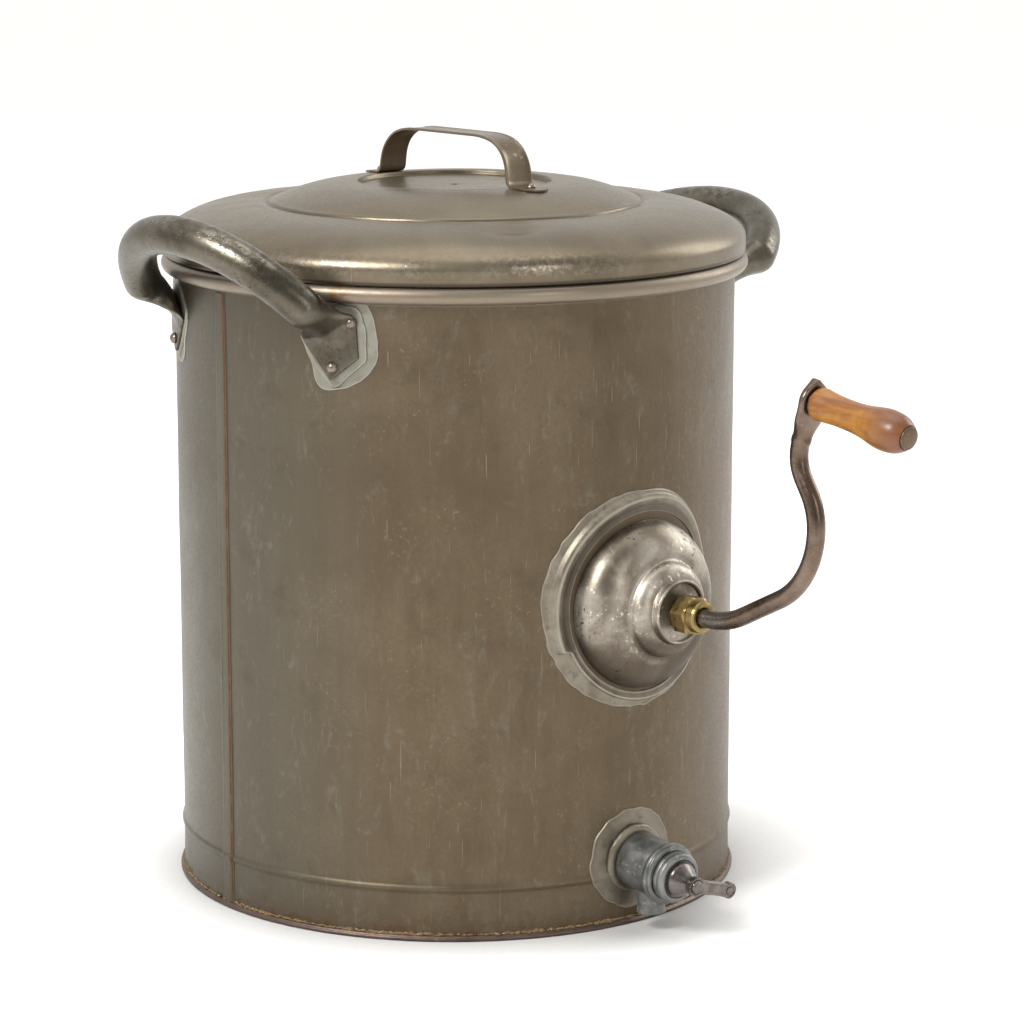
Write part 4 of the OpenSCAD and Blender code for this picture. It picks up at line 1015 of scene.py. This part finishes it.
def handle(name, side, y, z, tilt):
    """A bent tube whose ends are hammered flat into plates on the wall.
    end is 1 for the end towards the crank and -1 for the other."""
    level, rise = polar(tilt)
    outward = Vector((0, side * level, rise))
    sides = 72
    ring = [polar(360 * j / sides) for j in range(sides)]

    def hoop(phi):
        """A point of the tube's centre line, the line's direction there, and the way out of the bend."""
        c, s = polar(phi)
        ahead = Vector((1, 0, 0))
        radial = c * ahead + s * outward
        return Vector((0, y, z)) + HOOP_R * radial, -s * ahead + c * outward, radial

    def wall_axes(end):
        """Directions on the wall at a plate: across the tube, and out of the wall."""
        c, s = polar(PLATE_AZ)
        across = ACROSS.x * Vector((s, -side * c, 0)) + Vector((0, 0, ACROSS.y))
        out = Vector((c, side * s, 0))
        across.x, out.x = end * across.x, end * out.x
        return across, out

    def plate_point(end, s, t, d):
        p = PLATE_MID + DOWN * s + ACROSS * t
        at = on_wall(-PLATE_AZ, PLATE_Z, p.x, p.y, d)
        return Vector((end * at.x, -side * at.y, at.z))

    def circle(phi, end):
        """The round tube, twisted near its end so that it flattens along the plate."""
        at, along_tube, radial = hoop(phi)
        across, out = wall_axes(end)
        flat = (across - along_tube * across.dot(along_tube)).normalized()
        up = radial.cross(along_tube)
        up = up if up.dot(out) > 0 else -up
        twist = math.atan2(flat.dot(up), flat.dot(radial))
        twist *= 1 - smoothstep(phi if end > 0 else 180 - phi, 26, 78)
        first = radial * math.cos(twist) + up * math.sin(twist)
        second = -radial * math.sin(twist) + up * math.cos(twist)
        size = TUBE_R * (1 + 0.012 * wobble(at, 30, 4))
        return [at + size * (first * c + second * q) for c, q in ring]

    def end_section(end, s):
        """The tube at s along the plate: round at first, then hammered flat to the plate's width."""
        phi = 10 - (s + 5.4) / 1.53
        tube = circle(phi if end > 0 else 180 - phi, end)
        low, high = plate_span(min(23.2, max(-24.5, s)))
        mid, half = (low + high) / 2, (high - low) / 2
        hump = 22.0 * (1 - smoothstep(s, -25, 5))
        flatness = smoothstep(s, -28, -6)
        out = []
        for point, (c, q) in zip(tube, ring):
            t = mid + half * c
            swell = math.exp(-((t - 7.0) / 9.5) ** 2)
            top = 2.0 + 1.9 * abs(q) ** 0.42 + hump * swell * min(1, abs(q) * 1.6)
            out.append(point.lerp(plate_point(end, s, t, top if q >= 0 else 2.0), flatness))
        return out

    stations = range_from(-31, 54.2 / 56, 57)
    rows = [end_section(1, s) for s in reversed(stations)]
    rows += [circle(phi, 1) for phi in range(28, 90, 2)]
    rows += [circle(phi, -1) for phi in range(90, 154, 2)]
    rows += [end_section(-1, s) for s in stations]
    piece(f"handle_{name}_tube", swept(rows), "drum", "handle_tube", [f"handle_{name}"], crease=60)


def handle_patches():
    """Backing plates and solder under each handle's ends. The first of each replaces the node of all four."""
    pad = uneven_polygon([(-36, 8), (-13, 31), (11, 28), (16.5, 12), (16.5, -10), (-8, -31), (-24, -13)],
                         0.5, 21)
    solder = uneven_polygon([(-34, 4), (-12, 24), (1.5, 32), (8, 36), (17, 31), (22, 21), (25, 2), (24, -10),
                             (18, -20), (2, -30), (-15, -33), (-23, -27), (-26, -13)], 0.9, 31, size=8)
    for side, end in ((-1, 1), (-1, -1), (1, 1), (1, -1)):
        tag = f"{'left' if side < 0 else 'right'}_{'front' if end > 0 else 'rear'}"
        az = side * PLATE_AZ if end > 0 else 180 - side * PLATE_AZ
        for kind, node, outline, sizes in (("pad", "handle_pads", pad, dict(base=0.1, thick=1.7, lip=0.15)),
                                           ("solder", "handle_solder", solder, dict(thick=0.5, lip=0.3))):
            facing = (lambda a, outline=outline: outline(math.pi - a)) if side * end > 0 else outline
            replaces = [node] if tag == "left_front" else ()
            wall_patch(f"handle_{kind}_{tag}", az, PLATE_Z, facing, replaces, **sizes)


# ---------- lid ----------

def lid_profile():
    """Radius and height above the lid's edge, from the vent to the turned-down hem."""
    flat = [(2.5, 43.1), (3.2, 43.5), (30, 43.6), (60, 43.5), (68.4, 43.4)]
    bead = curve([(68.4, 43.4), (70.8, 43.3), (71.6, 44.2), (72.4, 46.4), (73.6, 47.1), (75.0, 46.9)], 4)
    crown = [(75 + 61 * k / 24, 46.9 - 13.1 * (k / 24) ** 2) for k in range(1, 25)]
    step = curve([(136, 33.8), (138.6, 32.9), (139.6, 31.2), (140.6, 30.6), (141.8, 30.9), (143.5, 31.6)], 4)
    dome = ellipse(141, 5, LID_EDGE_R - 141, 26.9, range(86, -1, -2))
    wall = [(LID_EDGE_R, 3.0), (LID_EDGE_R, 0.5), (LID_EDGE_R, -1.0)]
    return flat + bead[1:] + crown + step[1:] + dome + wall


def lid_dents(v):
    """The lid's skin has been pushed about: shallow waves, and one knock with a crease beside it."""
    r, az = math.hypot(v.x, v.y), math.degrees(math.atan2(v.y, v.x))
    h = v.z - LID_Z
    loose = smoothstep(r, 78, 110) * (1 - smoothstep(r, 205, 216))
    drop = 0.8 * wobble(v, 70, 12) + 0.25 * wobble(v, 24, 13)
    knock = 2.4 * math.exp(-((math.radians(az + 27) * r / 17) ** 2) - ((r - 172) / 11) ** 2)
    crease = math.exp(-((math.radians(az + 34) * r / 6) ** 2) - ((r - 163) / 16) ** 2)
    dish = 0.5 * wobble(v, 40, 14) * (1 - smoothstep(r, 55, 68))
    return Vector((v.x, v.y, v.z + loose * (drop - knock + crease) - abs(dish) if h > 4 else v.z))


def lid():
    outside = lid_profile()
    hem = arc(HEM_AT, -HEM_DROP, HEM_R, 8, -262, 30)
    thin, side_r = 0.75, 216.5
    inside = [(r - thin if r > side_r else r, h - thin) for r, h in reversed(outside) if h > 2 or r < 200]
    rows = [(r, LID_Z + h) for r, h in fine(outside + hem[1:], 5.0) + inside]
    shape = turned(rows, 540, upright, closed=True, bend=lid_dents)
    piece("lid_skin", shape, "lid", "lid_tinplate", ["lid_shell", "lid_edge_wire"], crease=55)


def strap():
    """The lid's handle: a strap with rolled edges, its feet turned outwards and riveted."""
    low, high = box_mm("lid_handle")
    width = high.y
    run = [(21, 9), (7.5, -84), (9, 8), (29, 62), (18, 14)]
    half = bent_line(Vector((high.x, low.z + 0.8)), 171.0, run, 1.2, 3)
    end, heading = half[-1]
    half += [(Vector((end.x * (1 - k / 8), end.y)), heading) for k in range(1, 9)]
    other = [(Vector((-p.x, p.y)), 360 - h) for p, h in reversed(half[:-1])]
    cross = [(-1, -0.1), (-0.985, 0.75), (-0.93, 1.15), (-0.86, 1.05), (-0.8, 0.75), (-0.5, 0.72), (0, 0.70),
             (0.5, 0.72), (0.8, 0.75), (0.86, 1.05), (0.93, 1.15), (0.985, 0.75), (1, -0.1), (0.985, -0.7),
             (0.5, -0.8), (0, -0.8), (-0.5, -0.8), (-0.985, -0.7)]
    rows = []
    for at, heading in half + other:
        c, s = polar(heading)
        normal = Vector((s, 0, -c))
        from_end = high.x - abs(at.x)
        round_foot = math.sqrt(max(0.02, 1 - ((width - from_end) / width) ** 2)) if from_end < width else 1.0
        waist = 1 - 0.07 * smoothstep(at.y, low.z + 8, high.z - 4)
        sway = 0.5 * math.sin(at.x / 31)
        foot = smoothstep(at.y, low.z + 3.0, low.z + 4.5)
        row = []
        for w, d in cross:
            if foot <= 0.5:
                d = max(-0.8, min(0.8, d)) * (1 - foot) + d * foot
            row.append(Vector((at.x, w * width * round_foot * waist + sway, at.y)) + normal * d)
        rows.append(row)
    piece("lid_strap", swept(rows), "lid", "lid_tinplate", ["lid_handle"], look="strap", crease=40)


# ---------- tap ----------

TAP_SIDE = Vector((0, 0, 1)).cross(TAP_AXIS).normalized()
TAP_UP = TAP_AXIS.cross(TAP_SIDE)


def on_tap(x, y, h):
    """Height runs outwards along the tap; x is to the +Y side, y is up."""
    return TAP_AT + TAP_AXIS * h + TAP_SIDE * x + TAP_UP * y


def grown(v, share):
    """A point moved away from the tap's axis by a share of its distance."""
    axis = TAP_AT + TAP_AXIS * (v - TAP_AT).dot(TAP_AXIS)
    return axis + (v - axis) * (1 + share)


def worn(v):
    """The tap's castings are a little out of round."""
    return grown(v, 0.010 * wobble(v, 9, 15))


def tap_barrel():
    """The barrel, with its spout turned down at the bottom."""
    bore, hole, back = 15.0, 10.0, -15.0
    rows = [(15.9, -15.9), (15.9, 3.4), (19.6, 3.6), (20.4, 4.6), (20.7, 12), (20.8, 20), (20.6, 28),
            (20.2, 31.5), (19.9, 33.2), (20.6, 34.0), (22.0, 34.6), (22.6, 35.6), (22.7, 37.5), (22.3, 38.6),
            (21.4, 39.0), (21.2, 39.6), (22.0, 40.2), (22.0, 41.3), (21.2, 41.9), (18.6, 42.0), (18.2, 41.0),
            (15.1, 40.8), (bore, 2.2), (hole, 2.0), (hole, back), (hole, back - 0.8)]
    shape = turned(rows, 120, on_tap, closed=True, bend=worn)
    barrel = piece("tap_barrel", shape, "drum", "lead", ["tap_body"])
    outward = Vector((TAP_AXIS.x, TAP_AXIS.y, 0)).normalized()
    foot_at = outward * (WALL_R + 20)
    top, low = TAP_AT.z - 14, box_mm("tap_body")[0].z

    def down(x, y, h):
        return foot_at + Vector((x, y, h))
    rows = [(7.5, top - 1), (13.6, top), (12.6, 30), (11.2, 25), (10.3, 21), (10.2, low + 3),
            (10.9, low + 1.2), (10.8, low + 0.2), (10.0, low), (8.2, low), (7.5, low + 0.8)]
    combine(barrel, "UNION", piece("spout", turned(rows, 96, down, closed=True), "drum", "lead"))
    crisp(barrel, 40)


def tap_flange():
    bore, root = 16.2, 20

    def dressed_round(v):
        r = (v - TAP_AT - TAP_AXIS * (v - TAP_AT).dot(TAP_AXIS)).length
        lump = 0.45 * wobble(v, 3.4, 16) + 0.5 * wobble(v, 12, 17) if r > root else 0
        return grown(v, lump / r)
    rows = [(bore, -0.4), (25.2, -0.4), (25.4, 1.6), (24.6, 2.6), (23.4, 3.2), (21.6, 3.6), (20.9, 3.3),
            (bore, 3.3)]
    verts, faces = turned(fine(rows, 1.2), 220, on_tap, closed=True, bend=dressed_round)
    piece("tap_flange_ring", (verts, faces), "drum", "solder", ["tap_flange"], look="old_solder", crease=60,
          edge=[0.25] * len(verts))


def tap_cap_ring():
    rows = [(12.1, 42.2), (17.9, 42.2), (18.4, 43.0), (18.5, 45.4), (18.2, 46.0), (18.5, 46.6), (18.5, 49.4),
            (17.9, 50.6), (16.6, 51.4), (14.9, 51.5), (14.2, 50.9), (13.4, 50.4), (12.1, 50.3)]
    shape = turned(rows, 120, on_tap, closed=True, bend=worn)
    piece("tap_cap_ring", shape, "drum", "lead", ["tap_ring_nut"], crease=40)


def tap_patch():
    az = math.degrees(math.atan2(TAP_AT.y, TAP_AT.x))
    outline = uneven_circle(-1.5, 0.5, 37, 1.7, 41)
    wall_patch("tap_solder_patch", az, TAP_AT.z, outline, ["tap_solder"], inner=lambda a: 22.0, thick=0.55,
               lip=0.35, steps=240, swage=True, look="old_solder")


def tap_plug():
    """The hollow plug with its cone and the neck that carries the lever."""
    rows = [(0, 32.8), (10, 32.6), (10, 2.4), (14.9, 2.6), (14.9, 39.6), (12.0, 40.2), (12.0, 51.9),
            (12.6, 52.6), (12.6, 54.0), (12.1, 54.8), (11.0, 56.4), (9.2, 58.9), (7.6, 61.3), (6.6, 63.2),
            (5.9, 64.0), (4.0, 64.1), (4.0, 70.6), (3.2, 71.4), (0, 71.6)]
    plug = piece("tap_cone", turned(rows, 110, on_tap), "tap_key", "pewter", ["tap_plug"])
    combine(plug, "DIFFERENCE", cutter(lambda x, y, h: on_tap(-h, y, 20 + x), 7.0, 0, 20))
    crisp(plug, 40)


def tap_lever():
    """A flat cast lever with a sunk border, a boss over the plug's neck and a stud in its knob."""
    turn, base, thick = -16, 64.3, 5.2
    hub, root, waist, neck, knob, reach = 7.0, 5.0, 4.6, 29.3, 6.0, 34.0
    side = [(8, root), (17, waist), (25, waist), (neck, root)]
    outline = arc(0, 0, hub, 42, 318, 27) + [(x, -y) for x, y in side]
    outline += arc(reach, 0, knob, -128, 128, 14) + side[::-1]
    c, s = polar(turn)
    work = bmesh.new()
    bottom = work.faces.new([work.verts.new(on_tap(x * c - y * s, x * s + y * c, base + 0.6) * MM)
                             for x, y in outline])
    raised = bmesh.ops.extrude_face_region(work, geom=[bottom])
    lifted = [v for v in raised["geom"] if isinstance(v, bmesh.types.BMVert)]
    bmesh.ops.translate(work, verts=lifted, vec=TAP_AXIS * thick * MM)
    bmesh.ops.recalc_face_normals(work, faces=work.faces)
    for face in [f for f in work.faces if len(f.verts) > 4]:
        bmesh.ops.inset_region(work, faces=[face], thickness=1.25 * MM, depth=0)
        bmesh.ops.inset_region(work, faces=[face], thickness=0.5 * MM, depth=-0.9 * MM)
    corner = [e for e in work.edges if e.calc_face_angle(0) > math.radians(50)]
    bmesh.ops.bevel(work, geom=corner, offset=0.35 * MM, segments=3, affect="EDGES", clamp_overlap=True)
    mesh = bpy.data.meshes.new("tap_handle")
    work.to_mesh(mesh)
    work.free()
    dressed(linked("tap_handle", mesh), "tap_key", "pewter", ["tap_lever", "tap_lever_pin"], crease=35)
    for name, out, r, top in (("tap_boss", 0, 4.9, 71.0), ("tap_knob_stud", reach, 3.1, 70.0)):
        cx, cy = polar(turn, out)
        rows = [(0, base - 0.2), (r, base - 0.1), (r, top - 0.8), (r - 0.4, top - 0.2), (r - 1.1, top)]
        rows += [(0, top + 0.25)]
        shape = turned(rows, 48, lambda x, y, h, cx=cx, cy=cy: on_tap(cx + x, cy + y, h))
        piece(name, shape, "tap_key", "pewter", crease=40)


# ---------- stage, light, camera ----------

def stage():
    """A pale floor, which darkens a little where the object hides the sky."""
    g = Graph("floor")
    open_sky = g.ramp(g.add("ShaderNodeAmbientOcclusion", {"Distance": 0.16}, "AO", samples=8), 0.35, 1.0)
    glow = {"Emission Color": (1.0, 0.995, 0.985), "Emission Strength": g.times(open_sky, 0.30)}
    g.finished(g.mix(open_sky, (0.45, 0.44, 0.425), (0.86, 0.857, 0.85)), 0.6, more=glow)
    half = 30.0
    mesh = bpy.data.meshes.new("floor")
    mesh.from_pydata([(-half, -half, 0), (half, -half, 0), (half, half, 0), (-half, half, 0)], [], [range(4)])
    mesh.materials.append(g.material)
    linked("floor", mesh)


def world():
    """A pale room, dimmer on the side the camera stands on."""
    room = bpy.data.worlds.new("studio")
    bpy.context.scene.world = room
    room.use_nodes = True
    tree = room.node_tree
    tree.nodes.clear()
    out = tree.nodes.new("ShaderNodeOutputWorld")
    back = tree.nodes.new("ShaderNodeBackground")
    where = tree.nodes.new("ShaderNodeTexCoord")
    toward = tree.nodes.new("ShaderNodeVectorMath")
    toward.operation = "DOT_PRODUCT"
    toward.inputs[1].default_value = (0.72, -0.62, 0.30)
    shade = tree.nodes.new("ShaderNodeMapRange")
    for socket, value in zip(list(shade.inputs)[1:5], (0.0, 0.85, 1.0, 0.40)):
        socket.default_value = value
    tree.links.new(where.outputs["Generated"], toward.inputs[0])
    tree.links.new(toward.outputs["Value"], shade.inputs[0])
    tree.links.new(shade.outputs[0], back.inputs["Strength"])
    back.inputs["Color"].default_value = (1.0, 0.985, 0.96, 1)
    tree.links.new(back.outputs[0], out.inputs[0])


def softbox(name, at, aim, size, watts):
    light = bpy.data.lights.new(name, "AREA")
    light.shape, light.size, light.size_y, light.energy = "RECTANGLE", *size, watts
    obj = linked(name, light)
    obj.location = at
    obj.rotation_euler = (Vector(aim) - Vector(at)).to_track_quat("-Z", "Y").to_euler()


def lights():
    softbox("key", (0.2, -2.4, 2.3), (0, 0, 0.35), (1.0, 1.0), 100)
    softbox("fill", (3.2, -0.4, 1.4), (0, 0, 0.3), (0.8, 2.0), 18)
    softbox("top", (0.0, 0.2, 3.2), (0, 0, 0.4), (2.2, 2.2), 28)
    softbox("back", (0.6, 2.6, 1.5), (0, 0, 0.35), (1.2, 1.8), 30)


def camera():
    """A long lens about 2.8 m off, which looks slightly down."""
    cam = bpy.data.cameras.new("camera")
    cam.lens, cam.sensor_width, cam.clip_end = 124.17, 36.0, 60
    obj = linked("camera", cam)
    obj.location = (2.0056, -1.7131, 0.8023)
    obj.rotation_euler = Vector((-0.73503, 0.64879, -0.19700)).to_track_quat("-Z", "Y").to_euler()
    bpy.context.scene.camera = obj


bpy.context.scene.view_settings.view_transform = "Standard"
finish_cad_nodes()
for make in (drum_shell, seam, foot, housing_patch, housing_ring, housing_dome, gland_nut, crank_rod, grip):
    make()
for side_name, values in HOOPS.items():
    handle(side_name, **values)
for make in (handle_patches, lid, strap, tap_barrel, tap_flange, tap_cap_ring, tap_patch, tap_plug, tap_lever,
             stage, world, lights, camera):
    make()
